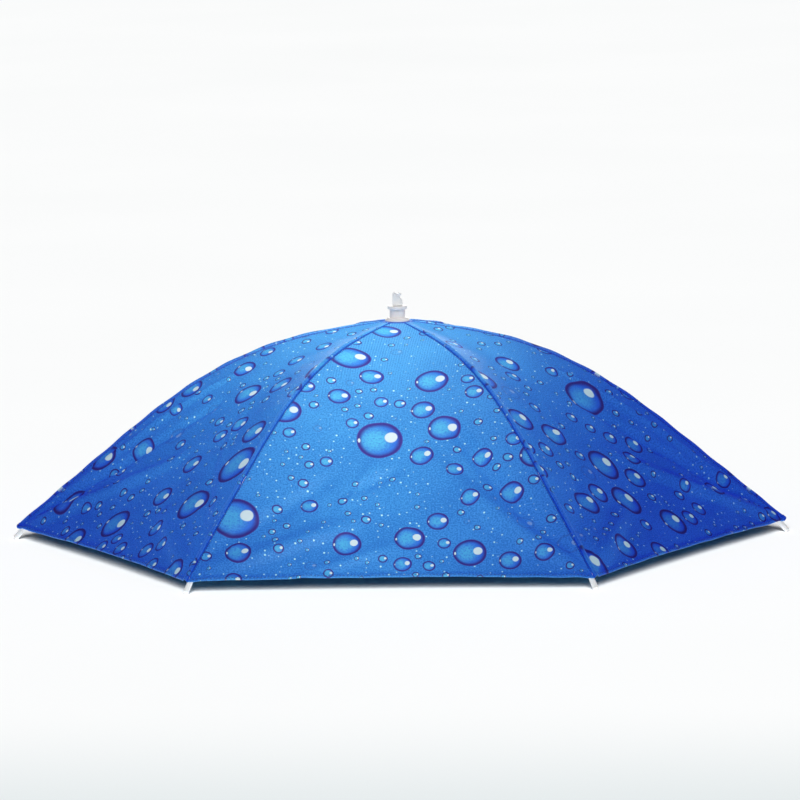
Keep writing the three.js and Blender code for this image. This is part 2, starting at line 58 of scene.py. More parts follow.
# View of the photograph
IMAGE_PIXELS = 800
FOCAL_PIXELS = 5630
SENSOR = 36
VIEW_DISTANCE = 4.99
VIEW_ELEVATION = 7.79
VIEW_AZIMUTH = 1.75
VIEW_ROLL = 0.856
AIM_HEIGHT = 0.1218
AIM_ACROSS = 0.0012
VIEW_LIMIT = 200

# Canopy, with the sizes of its solids
GORES = 6
GORE_TURN = 2 * math.pi / GORES
HALF_GORE = GORE_TURN / 2
HUB_SLOPE = math.radians(8.5)
RIM_SLOPE = math.radians(39.7)
BEND_START = 0.06
BEND_END = 0.76
BEND_STEPS = 1600
CLOTH_WALL = 1 * MM  # room that the solids keep for the cloth over a rib
CLOTH_THICKNESS = 0.55 * MM
CLOTH_HOLE_CLEARANCE = 3 * MM
CLOTH_SAG = 6 * MM
HEM_OVERHANG = 1.6 * MM  # by which the hem reaches past the corners of the solids
HEM_SCALLOP = 2.6 * MM
HEM_WIDTH = 3.6 * MM
HEM_RISE = 0.3 * MM
HEM_ROWS = [1, 0.94, 0.84, 0.7, 0.5, 0.3, 0.16, 0.06, 0]  # shares of the hem's width
SEAM_WIDTH = 6 * MM
SEAM_RISE = 2.9 * MM
SEAM_COLUMNS = [0, 0.04, 0.1, 0.2, 0.34, 0.5, 0.66, 0.8, 0.9, 0.97, 1.15]  # of the seam's width
WELT_ROUND = 0.6  # power of the round of a welt or hem, lower for a squarer one
SEAM_LUMPS = 0.11
SEAM_LUMP_PITCH = 34 * MM
SEAM_TOP_SHARE = 0.45  # of the rise, where the seam starts at the cap
SEAM_ROOM = 0.5  # most of half a gore that a seam may fill, where the gore is narrow
CREASE_WIDTH = 1.1 * MM
CREASE_DEPTH = 0.5 * MM
FOLD_LIFT = 3.6 * MM
FOLD_FADE = 0.15
PUCKER_LIFT = 0.2 * MM
PUCKER_PITCH = 11 * MM
PUCKER_REACH = 9 * MM
RIPPLE_LIFT = 0.5 * MM
RIPPLE_SIZE = 45 * MM
RIPPLE_WAVES = 7
GORE_COLUMNS = 96
GORE_ROWS = 112

# Ribs, tips and saddles
RIB_DIAMETER = 2.4 * MM
RIB_START_RADIUS = 7.4 * MM
RIB_POINTS = 18
RIB_STEPS = 4  # between two of those points
RIB_SIDES = 14
RIB_END_SHRINK = 0.8
RIB_LEAD_LENGTH = 7 * MM
RIB_STRAIGHT_LENGTH = 25 * MM
TIP_RADIUS = 345 * MM
TIP_SLOPE = math.radians(48)
TIP_EXPOSED = 9.5 * MM
TIP_SLEEVE_WALL = 0.7 * MM
TIP_SLEEVE_LENGTH = 5.5 * MM
TIP_SHOULDER = 0.2 * MM
TIP_END_WALL = 3 * MM
TIP_CHAMFER = 0.5 * MM
TIP_EASE = 0.2 * MM
TIP_WAIST = 0.985  # of the tip's diameter, half way along it
TIP_ROUND_STEPS = 6
TIP_SIDES = 40
SADDLE_EASE = 0.25 * MM

# Struts and band arms
STRUT_START_RADIUS = 6.4 * MM
STRUT_THICKNESS = 1.6 * MM
STRUT_OFFSET = 2.1 * MM  # from the middle of a saddle to the strut beside it
STRUT_EASE = 0.2 * MM
ARM_EASE = 0.3 * MM

# Cap, hub, post and runner in the middle
CAP_FLANGE_DIAMETER = 21.8 * MM
CAP_FLANGE_THICKNESS = 3 * MM
CAP_FLANGE_RIM = 1.2 * MM
CAP_FLANGE_TAPER = 2.1 * MM
CAP_NECK_DIAMETER = 13.6 * MM
CAP_NECK_HEIGHT = 7.8 * MM
CAP_COLLAR_OVERHANG = 1.8 * MM
CAP_EASE = 0.45 * MM
HUB_DIAMETER = 20 * MM
HUB_SLOT_DEPTH = 5 * MM
RUNNER_SLOT_FLOOR = 2 * MM
CROWN_EASE = 0.5 * MM
ROUND_SIDES = 96
POST_DIAMETER = 6 * MM
POST_BUTTON_DIAMETER = 10 * MM
POST_BUTTON_HEIGHT = 2.4 * MM
POST_EASE = 0.5 * MM
POST_SIDES = 64
TONGUE_WIDTH = 8.8 * MM
TONGUE_HEIGHT = 11.6 * MM
TONGUE_DEPTH = 6.4 * MM
TONGUE_OFFSET = 0.4 * MM
TONGUE_EASE = 0.45 * MM

# Head band
BAND_INNER_DIAMETER = 184 * MM
BAND_THICKNESS = 2 * MM
BAND_RIDGES = 12
BAND_RIDGE_DEPTH = 0.22 * MM
BAND_RIDGE_STEPS = 6
BAND_ROUND = 0.5 * MM
BAND_SIDES = 220
ELASTIC_COURSE = 1.3 * MM

# Stitches
STITCH_PITCH = 2.6 * MM
STITCH_LENGTH = 1.9 * MM
STITCH_WIDTH = 0.5 * MM
SEAM_STITCH_INSET = 1.1 * MM
HEM_STITCH_INSET = 2.1 * MM
STITCH_PROUD = 0.08 * MM
STITCH_LINE_STEP = 2 * MM
SEAM_STITCH_START = 2.6  # of the radius at which the cloth is clamped
SEAM_STITCH_STOP = 1.5  # widths of the hem before the end of the rib
HEM_STITCH_SPAN = 0.975  # of half the hem
HEM_STITCH_POINTS = 160
HEM_STITCH_SCALE = 1.15  # of the pitch and length of the seams' stitches


def table(columns, *rows):
    """Rows of values under the names of their columns."""
    return [dict(zip(columns.split(), row)) for row in rows]


# Outline of the tongue seen from the front, as shares of its width and height
TONGUE_OUTLINE = table(
    "across up",
    (-0.5, 0),
    (0.5, 0),
    (0.43, 0.44),
    (0.22, 0.56),
    (0.22, 0.76),
    (0.38, 0.82),
    (0.38, 0.9),
    (0.12, 1),
    (0.06, 0.84),
    (-0.14, 0.84),
    (-0.22, 1),
    (-0.4, 1),
    (-0.5, 0.9),
)

# Soft folds: ridges from one point of a gore to another, with across from -1 at the left rib to 1
# at the right rib and down from 0 at the cap to 1 at the hem. The width is a share of the reach,
# and the lift a share of the deepest fold, below zero for a hollow.
FRONT_FOLDS = table(
    "across down to_across to_down width lift",
    (0.95, 0.99, 0.28, 0.66, 0.05, 1.2),
    (0.9, 0.9, 0.52, 0.58, 0.052, -1.3),
    (-0.95, 0.98, -0.2, 0.84, 0.04, 1),
    (-0.9, 0.9, -0.4, 0.72, 0.04, -0.6),
    (-0.32, 0.82, -0.14, 0.68, 0.026, 0.6),
    (-0.3, 0.77, 0.04, 0.7, 0.024, -0.75),
    (-0.45, 0.99, 0.02, 0.91, 0.024, 0.55),
    (0.16, 0.97, 0.02, 0.8, 0.026, 0.4),
)
SIDE_FOLDS = table(
    "across down to_across to_down width lift",
    (0.95, 0.99, 0.1, 0.72, 0.042, 1.4),
    (0.97, 0.95, 0.34, 0.56, 0.042, -1.25),
    (0.97, 0.88, 0.62, 0.42, 0.036, 0.95),
    (-0.95, 0.98, -0.3, 0.86, 0.038, 1),
    (-0.9, 0.88, -0.42, 0.7, 0.036, -0.6),
    (-0.5, 0.7, -0.2, 0.55, 0.03, 0.4),
)

# Small creases that run out from both lower corners of every gore, for the right-hand corner
CORNER_CREASES = table(
    "across down to_across to_down width lift",
    (1, 0.985, 0.82, 0.9, 0.012, 0.4),
    (1, 0.97, 0.88, 0.86, 0.011, -0.34),
    (0.97, 1, 0.78, 0.955, 0.011, -0.3),
)

# The gores in order round the hat: a mirror of -1 swaps left and right of the folds, and the lap
# columns say on which edges a gore carries the seam allowance.
GORE_PLAN = table(
    "folds mirror lap_left lap_right",
    (FRONT_FOLDS, 1, False, False),
    (SIDE_FOLDS, 1, True, False),
    (SIDE_FOLDS, -1, True, False),
    (FRONT_FOLDS, -1, True, True),
    (SIDE_FOLDS, 1, False, True),
    (SIDE_FOLDS, -1, False, True),
)

# Printed water drops on one gore, by size. Faint drops are printed as an outline alone.
DROP_SIZES = table(
    "radius count faint",
    (20 * MM, 2, 0),
    (16 * MM, 4, 0),
    (13 * MM, 6, 0),
    (10.5 * MM, 8, 1),
    (8 * MM, 11, 1),
    (6 * MM, 14, 2),
    (4.4 * MM, 20, 2),
    (3.1 * MM, 34, 3),
    (2 * MM, 40, 0),
)
DROP_CLEARANCE = 3.2 * MM
DROP_SIZE_SPREAD = 0.12
DROP_TRIES = 300
DROP_FIRST_SHARE = 0.004  # of the gore's area, up by the cap, that stays without drops
PRINT_SEED = 37
SPECK_CELL = 8 * MM
GRAIN_SIZE = 1.45 * MM
RIB_WEAVE_PITCH = 2.2 * MM
THREAD_PITCH = 0.7 * MM
WEAVE_DEPTH = 0.12 * MM
# Width of the painted shade along a seam's crease
CREASE_SHADE_WIDTH = 0.55 * MM
# Painted shadow round the cap's flange: full up to the first distance from the middle along the
# cloth, gone by the second
CAP_SHADOW_START = 11.5 * MM
CAP_SHADOW_END = 14.5 * MM


# Shape of the canopy, worked out as for its solids
def smooth_step(value, low, high):
    share = np.clip((value - low) / (high - low), 0, 1)
    return share * share * (3 - 2 * share)


sleeve_diameter = RIB_DIAMETER + 2 * GAP + 2 * TIP_SLEEVE_WALL
tip_diameter = sleeve_diameter + 2 * TIP_SHOULDER
tip_axis = np.array([math.cos(TIP_SLOPE), 0, -math.sin(TIP_SLOPE)])
tip_end = np.array([
    TIP_RADIUS - tip_diameter / 2 * math.sin(TIP_SLOPE) + TIP_CHAMFER * math.cos(TIP_SLOPE),
    0,
    (tip_diameter / 2 - TIP_CHAMFER) * math.cos(TIP_SLOPE),
])
ridge_share = math.hypot(1, math.tan(RIM_SLOPE) * math.tan(HALF_GORE))
rib_depth = CLOTH_WALL + (RIB_DIAMETER / 2 + GAP) * ridge_share
sleeve_depth = CLOTH_WALL + (sleeve_diameter / 2 + GAP) * ridge_share
shoulder_depth = sleeve_depth + TIP_SLEEVE_LENGTH * math.sin(TIP_SLOPE - RIM_SLOPE)
shoulder = tip_end - tip_axis * TIP_EXPOSED
reach = shoulder[0] + shoulder_depth * math.sin(RIM_SLOPE)
corner_height = shoulder[2] + shoulder_depth * math.cos(RIM_SLOPE)
clamp_radius = (HUB_DIAMETER / 2 + GAP) / math.cos(HALF_GORE)
hole_radius = POST_DIAMETER / 2 + CLOTH_HOLE_CLEARANCE


def rib_slope(radius):
    eased = smooth_step(np.asarray(radius) / reach, BEND_START, BEND_END)
    return np.where(radius < clamp_radius, 0, HUB_SLOPE + (RIM_SLOPE - HUB_SLOPE) * eased)


cloth_reach = reach + HEM_OVERHANG
bend_radii = np.linspace(0, cloth_reach, BEND_STEPS + 1)
bend_step = cloth_reach / BEND_STEPS
bend_falls = np.tan(rib_slope((bend_radii[1:] + bend_radii[:-1]) / 2)) * bend_step
bend_drop = np.concatenate([[0], np.cumsum(bend_falls)])
bend_run = np.concatenate([[0], np.cumsum(np.hypot(bend_step * math.cos(HALF_GORE), bend_falls))])


def cloth_drop(radius):
    return np.interp(radius, bend_radii, bend_drop)


def cloth_height(radius):
    return corner_height + cloth_drop(reach) - cloth_drop(radius)


def cloth_run(radius):
    """Length of cloth from the middle of the hat out to a radius, along the middle of a gore."""
    return np.interp(radius, bend_radii, bend_run)


def under_cloth(radius, depth):
    slope = rib_slope(radius)
    height = cloth_height(radius) - depth * np.cos(slope)
    return np.array([radius - depth * np.sin(slope), 0, height])


def facing(gores):
    """Turn about +Z that takes a piece made along +X to its place, in gores from the front."""
    return gores * GORE_TURN - math.pi / 2


def turned_about_z(points, angle):
    c, s = math.cos(angle), math.sin(angle)
    turn = np.array([[c, s, 0], [-s, c, 0], [0, 0, 1]])
    return points @ turn


def hem_radius(across):
    return cloth_reach - HEM_SCALLOP * (1 - across**2)


def half_width(radius):
    return radius * math.sin(HALF_GORE) - GAP / 2 / math.cos(HALF_GORE)


def fold_lift(fold, mirror, across, down):
    """How far a fold lifts the cloth: most on its line, nothing at its width."""
    width = reach * math.sin(HALF_GORE)
    start = np.array([fold["across"] * mirror * width, fold["down"] * reach])
    line = np.array([fold["to_across"] * mirror * width, fold["to_down"] * reach]) - start
    point = np.stack([across * width, down * reach], axis=-1) - start
    along = np.clip(point @ line / (line @ line), 0, 1)
    distance = np.linalg.norm(point - along[..., None] * line, axis=-1)
    near = 1 - smooth_step(distance / reach, 0, fold["width"])
    fade = np.sin(math.pi * (FOLD_FADE + (1 - 2 * FOLD_FADE) * along))
    return FOLD_LIFT * fold["lift"] * near * fade


def ripples(across_length, down_length, seed):
    """Faint unevenness of hand-stretched cloth, as a few crossed waves with random phases."""
    draw = np.random.default_rng(seed)
    total = np.zeros_like(across_length)
    for _ in range(RIPPLE_WAVES):
        heading = draw.uniform(0, math.pi)
        length = RIPPLE_SIZE * draw.uniform(0.6, 1.8)
        phase = draw.uniform(0, 2 * math.pi)
        course = across_length * math.cos(heading) + down_length * math.sin(heading)
        total += np.sin(2 * math.pi * course / length + phase)
    return RIPPLE_LIFT * total / 3


def hem_rise(radius, rim):
    """How far the rolled hem stands off the cloth, by the distance from the rim."""
    share = np.clip((rim - radius) / (HEM_WIDTH * math.cos(RIM_SLOPE)), 0, 1)
    return HEM_RISE * (1 - (2 * share - 1) ** 4) ** WELT_ROUND


def lapped_edge(index, side):
    """Whether the gore carries the seam allowance on the edge nearest to a point."""
    return np.where(side < 0, GORE_PLAN[index]["lap_left"], GORE_PLAN[index]["lap_right"])


def gore_surface(index, side, radius, rim):
    """Points on the upper side of a gore that lies along +X, and the way out of the cloth."""
    gore = GORE_PLAN[index]
    half = half_width(radius)
    across = side / half
    down = np.maximum(0, (radius - clamp_radius) / (reach - clamp_radius))
    edge = half - np.abs(side)
    seam_width = np.minimum(SEAM_WIDTH, half * SEAM_ROOM)
    open_cloth = smooth_step(edge, 0, 3 * seam_width)

    folds = [(fold, gore["mirror"]) for fold in gore["folds"]]
    folds += [(crease, mirror) for mirror in (-1, 1) for crease in CORNER_CREASES]
    lift = sum(fold_lift(fold, mirror, across, down) for fold, mirror in folds)
    lift = lift + ripples(side, cloth_run(radius), index) * smooth_step(down, 0, 0.25)
    pucker = np.sin(2 * math.pi * cloth_run(radius) / PUCKER_PITCH + 3 * np.sin(down * 17 + index))
    lift = lift + PUCKER_LIFT * pucker * np.exp(-edge / PUCKER_REACH)
    lift = lift * open_cloth
    lift = lift - (1 - across**2) ** 2 * np.sin(math.pi * down) * CLOTH_SAG

    lapped = lapped_edge(index, side) & (radius > clamp_radius)
    seam_share = np.clip(edge / seam_width, 0, 1)
    lumps = 1 + SEAM_LUMPS * np.sin(2 * math.pi * cloth_run(radius) / SEAM_LUMP_PITCH + 5 * index)
    welt = SEAM_RISE * lumps * (1 - (2 * seam_share - 1) ** 2) ** WELT_ROUND
    welt = welt * (SEAM_TOP_SHARE + (1 - SEAM_TOP_SHARE) * smooth_step(down, 0, 0.3))
    crease = -CREASE_DEPTH * (1 - np.clip(edge / CREASE_WIDTH, 0, 1)) ** 2
    lift = lift + np.where(lapped, welt * seam_width / SEAM_WIDTH, crease)

    lift = lift + hem_rise(radius, rim)

    slope = rib_slope(radius)
    turn = across * HALF_GORE
    outward = np.stack(
        [np.sin(slope) * np.cos(turn), np.sin(slope) * np.sin(turn), np.cos(slope)], axis=-1
    )
    flat = np.stack([radius * math.cos(HALF_GORE), side, cloth_height(radius)], axis=-1)
    return flat + outward * lift[..., None], outward


def gore_columns():
    """Shares of the half width and insets from the seam, close together over the seams."""
    insets = np.array(SEAM_COLUMNS) * SEAM_WIDTH
    middle = np.linspace(-1, 1, GORE_COLUMNS + 1)[3:-3]
    shares = np.concatenate([-np.ones(len(insets)), middle, np.ones(len(insets))])
    inset = np.concatenate([insets, np.zeros(len(middle)), insets[::-1]])
    return shares, inset


def gore_grid():
    """Side and radius of every grid point of a gore, by column and row, and the rim by column."""
    shares, insets = gore_columns()
    rim = hem_radius(shares)
    hem_run = np.array(HEM_ROWS) * HEM_WIDTH * math.cos(RIM_SLOPE)
    inner = np.array([hole_radius, (hole_radius + clamp_radius) / 2, clamp_radius])
    steps = np.arange(1, GORE_ROWS) / GORE_ROWS
    rows = []
    for column_rim in rim:
        body = clamp_radius + (column_rim - hem_run[0] - clamp_radius) * steps
        rows.append(np.concatenate([inner, body, column_rim - hem_run]))
    radius = np.array(rows)
    half = half_width(radius)
    room = half * 2 * 3 / GORE_COLUMNS  # three columns of the middle make way for the seam's
    squeeze = np.minimum(1, room * 0.98 / insets.max())
    side = np.sign(shares)[:, None] * (np.abs(shares)[:, None] * half - insets[:, None] * squeeze)
    return side, radius, np.broadcast_to(rim[:, None], radius.shape)


def scattered_drops(seed):
    """Centres and sizes of one gore's printed drops, thrown at random and kept apart."""
    draw = np.random.default_rng(seed)
    longest = cloth_run(cloth_reach)
    drops = []
    for size in DROP_SIZES:
        for number in range(size["count"]):
            for _ in range(DROP_TRIES):
                radius = size["radius"] * (1 + draw.uniform(-1, 1) * DROP_SIZE_SPREAD)
                down = longest * math.sqrt(draw.uniform(DROP_FIRST_SHARE, 1))
                here = half_width(np.interp(down, bend_run, bend_radii))
                across = draw.uniform(-1, 1) * (here + radius / 2)
                clear = all(
                    math.hypot(across - x, down - y) > radius + abs(other) + DROP_CLEARANCE
                    for x, y, other in drops
                )
                if clear:
                    faint = number < size["faint"]
                    drops.append((across, down, -radius if faint else radius))
                    break
    return np.array(drops)


# Making meshes
def new_object(name, mesh):
    piece = bpy.data.objects.new(name, mesh)
    bpy.context.scene.collection.objects.link(piece)
    return piece


def mesh_of(name, points, faces):
    mesh = bpy.data.meshes.new(name)
    mesh.from_pydata(np.asarray(points).tolist(), [], [tuple(face) for face in faces])
    mesh.validate()
    mesh.update()
    return mesh


def store(mesh, name, domain, vectors):
    """Keeps vectors on the points or faces of a mesh, for its finish or its node tree."""
    stored = mesh.attributes.new(name, "FLOAT_VECTOR", domain)
    stored.data.foreach_set("vector", vectors.astype(np.float32).ravel())


def shade(piece, *materials, angle=None):
    """Materials and smooth shading, with edges sharper than the angle kept crisp."""
    for material in materials:
        piece.data.materials.append(material)
    piece.data.shade_smooth()
    if angle:
        piece.data.set_sharp_from_angle(angle=math.radians(angle))
    return piece


def flattened(piece):
    """The piece with its modifiers made into plain mesh."""
    graph = bpy.context.evaluated_depsgraph_get()
    mesh = bpy.data.meshes.new_from_object(piece.evaluated_get(graph))
    piece.modifiers.clear()
    piece.data = mesh
    mesh.name = piece.name
    return piece


def rounded(profile, radius, steps=4):
    """A closed outline of (x, y) corners, each eased by an arc-like curve of that size."""
    eased = []
    count = len(profile)
    for i, corner in enumerate(profile):
        corner = np.array(corner, float)
        before = np.array(profile[i - 1], float) - corner
        after = np.array(profile[(i + 1) % count], float) - corner
        room = min(radius, np.linalg.norm(before) / 2.2, np.linalg.norm(after) / 2.2)
        first = corner + before / np.linalg.norm(before) * room
        last = corner + after / np.linalg.norm(after) * room
        for t in np.linspace(0, 1, steps + 1):
            eased.append((1 - t) ** 2 * first + 2 * t * (1 - t) * corner + t * t * last)
    return np.array(eased)


def ring_mesh(name, outline, sides):
    """A closed outline in radius and height turned about +Z, or one that starts and ends on it."""
    turns = np.arange(sides) * 2 * math.pi / sides
    count = len(outline)
    points = [(r * math.cos(a), r * math.sin(a), z) for a in turns for r, z in outline]
    steps = count - 1 if outline[0][0] == 0 else count
    faces = []
    for i in range(sides):
        here, there = i * count, (i + 1) % sides * count
        for j in range(steps):
            after = (j + 1) % count
            faces.append((here + j, there + j, there + after, here + after))
    return mesh_of(name, points, faces)


def outward_normals(piece):
    """A closed shell with its doubled points merged and its faces turned to point out."""
    shell = bmesh.new()
    shell.from_mesh(piece.data)
    bmesh.ops.remove_doubles(shell, verts=shell.verts, dist=SAME_POINT)
    bmesh.ops.recalc_face_normals(shell, faces=shell.faces)
    if shell.calc_volume(signed=True) < 0:
        bmesh.ops.reverse_faces(shell, faces=shell.faces)
    shell.to_mesh(piece.data)
    shell.free()
    return piece


def turned_piece(name, outline, sides):
    return outward_normals(new_object(name, ring_mesh(name, outline, sides)))


def rib_turn(index):
    """Turn that takes a piece made along +X to its rib, which lies half a gore before the gore."""
    return Matrix.Rotation(facing(index - 0.5), 4, "Z")


def placed(piece, matrix):
    piece.data.transform(matrix)
    return piece


def combined(piece, other, operation):
    """A closed shell fused with another by UNION, or cut by it with DIFFERENCE."""
    change = piece.modifiers.new("combine", "BOOLEAN")
    change.operation = operation
    change.solver = "EXACT"
    change.object = other
    bpy.context.view_layer.update()
    flattened(piece)
    bpy.data.objects.remove(other)
    return piece


def bevelled(piece, width, angle=30, segments=2):
    bevel = piece.modifiers.new("bevel", "BEVEL")
    bevel.width = width
    bevel.segments = segments
    bevel.limit_method = "ANGLE"
    bevel.angle_limit = math.radians(angle)
    bevel.harden_normals = False
    bpy.context.view_layer.update()
    return flattened(piece)


# Finishes: a value is a socket of a material's nodes, with arithmetic that adds the nodes it needs
class Value:
    def __init__(self, finish, socket):
        self.finish = finish
        self.socket = socket

    def __add__(self, other):
        return self.finish.math("ADD", self, other)

    def __sub__(self, other):
        return self.finish.math("SUBTRACT", self, other)

    def __rsub__(self, other):
        return self.finish.math("SUBTRACT", other, self)

    def __mul__(self, other):
        return self.finish.math("MULTIPLY", self, other)

    def __truediv__(self, other):
        return self.finish.math("DIVIDE", self, other)

    def __rtruediv__(self, other):
        return self.finish.math("DIVIDE", other, self)

    def __abs__(self):
        return self.finish.math("ABSOLUTE", self)

    __radd__ = __add__
    __rmul__ = __mul__


def feed(tree, socket, value):
    """Links a socket to a value, or sets it to a constant."""
    if isinstance(value, Value):
        value = value.socket
    if isinstance(value, bpy.types.NodeSocket):
        tree.links.new(value, socket)
    elif socket.type == "RGBA" and len(value) == 3:
        socket.default_value = (*value, 1)
    else:
        socket.default_value = value


def add_node(tree, kind, settings, values):
    made = tree.nodes.new(kind)
    for name, setting in settings.items():
        setattr(made, name, setting)
    for name, value in values.items():
        feed(tree, made.inputs[name], value)
    return made


class Finish:
    """A material made of nodes, with one Principled shader whose constants are set by name."""

    def __init__(self, name, **constants):
        self.material = bpy.data.materials.new(name)
        self.material.use_nodes = True
        self.tree = self.material.node_tree
        self.tree.nodes.clear()
        self.shader = self.node("ShaderNodeBsdfPrincipled", {}, constants)
        self.output = self.node("ShaderNodeOutputMaterial", {}, {"Surface": self.out(self.shader)})

    def node(self, kind, settings, values):
        return add_node(self.tree, kind, settings, values)

    def out(self, node, name=0):
        return Value(self, node.outputs[name])

    def set(self, **values):
        for name, value in values.items():
            feed(self.tree, self.shader.inputs[name.replace("_", " ")], value)

    def math(self, operation, *operands):
        values = dict(enumerate(operands))
        return self.out(self.node("ShaderNodeMath", {"operation": operation}, values))

    def distance(self, x, y):
        return self.math("SQRT", x * x + y * y)

    def larger(self, first, second):
        return self.math("MAXIMUM", first, second)

    def step(self, value, low, high):
        """0 below low and 1 above high, or the other way round if low is the larger."""
        settings = {"interpolation_type": "SMOOTHSTEP"}
        values = {"Value": value, "From Min": low, "From Max": high}
        return self.out(self.node("ShaderNodeMapRange", settings, values))

    def mix(self, first, second, share):
        settings = {"data_type": "RGBA"}
        made = self.node("ShaderNodeMix", settings, {"Factor": share, 6: first, 7: second})
        return self.out(made, 2)

    def attribute(self, name):
        return self.out(self.node("ShaderNodeAttribute", {"attribute_name": name}, {}), "Vector")

    def object_place(self):
        return self.out(self.node("ShaderNodeTexCoord", {}, {}), "Object")

    def parts(self, vector):
        made = self.node("ShaderNodeSeparateXYZ", {}, {0: vector})
        return [self.out(made, i) for i in range(3)]

    def vector(self, x, y, z=0.0):
        return self.out(self.node("ShaderNodeCombineXYZ", {}, {0: x, 1: y, 2: z}))

    def noise(self, place, scale, detail=2, roughness=0.5):
        values = {"Vector": place, "Scale": scale, "Detail": detail, "Roughness": roughness}
        return self.out(self.node("ShaderNodeTexNoise", {}, values))

    def bump(self, height, distance, strength=1.0):
        values = {"Height": height, "Distance": distance, "Strength": strength}
        self.set(Normal=self.out(self.node("ShaderNodeBump", {}, values)))


# Colours, as linear light
CLOTH_BLUE = (0.06, 0.338, 0.44)
CLOTH_DEEP_BLUE = (0.03, 0.21, 0.36)
# Pale warp lines of the weave near the cap, and the painted highlight on the seam welts
PALE_WARP_AND_PAINTED_HIGHLIGHT = (0.13, 0.43, 0.55)
# Painted shade: dark navy in the seam creases, at the feet of the welts and in the painted shadow
# round the cap
PAINTED_SHADE_NAVY = (0.01, 0.045, 0.16)
# Painted glow: emission colours that lift the blue of the cloth, its drop fills and outlines, and
# its painted shade, though the cloth is no lamp
PAINTED_GLOW_BLUE = (0.0, 0.0, 0.385)
PAINTED_GLOW_DEEP_BLUE = (0.0, 0.0, 0.285)
OUTLINE_GLOW = (0.0, 0.0, 0.05)
PAINTED_SHADE_GLOW = (0.0, 0.01, 0.34)
FILL_GLOW = (0.0, 0.02, 0.33)
DROP_OUTLINE = (0.042, 0.028, 0.2)
DROP_OUTER_EDGE = (0.1, 0.085, 0.4)
DROP_SHADE = (0.03, 0.15, 0.4)
DROP_LIGHT = (0.09, 0.47, 0.52)
GLINT = (0.52, 0.52, 0.48)
# Painted glow on the printed glints and specks
GLINT_GLOW = (0.2, 0.34, 0.42)
SPECK = (0.48, 0.7, 0.62)
SPECK_GLOW = (0.06, 0.24, 0.36)
# Colour of the painted glow of the plastic parts
PLASTIC_GLOW = (0.92, 0.94, 0.96)
THREAD_BLUES = ((0.012, 0.03, 0.14), (0.03, 0.09, 0.32))
FROSTED_WHITES = ((0.84, 0.85, 0.85), (0.97, 0.975, 0.975))
STEEL_GREYS = ((0.42, 0.43, 0.45), (0.62, 0.63, 0.65))
ELASTIC_BLACKS = ((0.012, 0.013, 0.018), (0.05, 0.052, 0.06))
FLOOR_WHITES = ((0.86, 0.87, 0.87), (0.9, 0.905, 0.905))
# Painted shade: the floor darker on its near side, towards -Y, between these two depths
PAINTED_NEAR_FLOOR_SHADE = (0.68, 0.73, 0.74)
NEAR_FLOOR_START = -0.78
NEAR_FLOOR_END = -1.3
SEEN_SKY = (0.985, 0.99, 0.995)
LIT_SKY = (1, 1, 1)
SKY_STRENGTH = 0.07
# Looks of the plastics; glow is the strength of their painted glow, most for the milky tips
WHITE_PLASTIC = {"dark": (0.72, 0.66, 0.64), "pale": (0.8, 0.73, 0.71), "glow": 0.11}
MILKY_PLASTIC = {"dark": (0.76, 0.77, 0.8), "pale": (0.82, 0.83, 0.85), "glow": 0.38}

# Grain of the finishes, in waves per metre
CLOTH_TONE = 14
SPECK_CROWDS = 26
DROP_WOBBLE = 48
DROP_MOTTLE = 400
THREAD_FIBRES = 900
FLOW_MARKS = 90
ORANGE_PEEL = 1400
FROST = 700
DRAWING_MARKS = 600
ELASTIC_YARN = 900
FLOOR_CLOUDS = 1.5

# Depth of the fine relief of the finishes
THREAD_DEPTH = 0.1 * MM
PEEL_DEPTH = 0.03 * MM
FROST_DEPTH = 0.08 * MM
MARK_DEPTH = 0.03 * MM
KNIT_DEPTH = 0.2 * MM

# Light spots on a printed drop: place and half size as shares of its radius, and their soft edge
GLINT_SPOT = {"x": 0.48, "y": 0.13, "wide": 0.27, "high": 0.28, "end": 1.15, "full": 0.75}
TICK_SPOT = {"x": -0.84, "y": -0.02, "wide": 0.055, "high": 0.12, "end": 1.2, "full": 0.6}


def light_spot(cloth, x, y, spot):
    across = (x - spot["x"]) / spot["wide"]
    up = (y - spot["y"]) / spot["high"]
    return cloth.step(across * across + up * up, spot["end"], spot["full"])


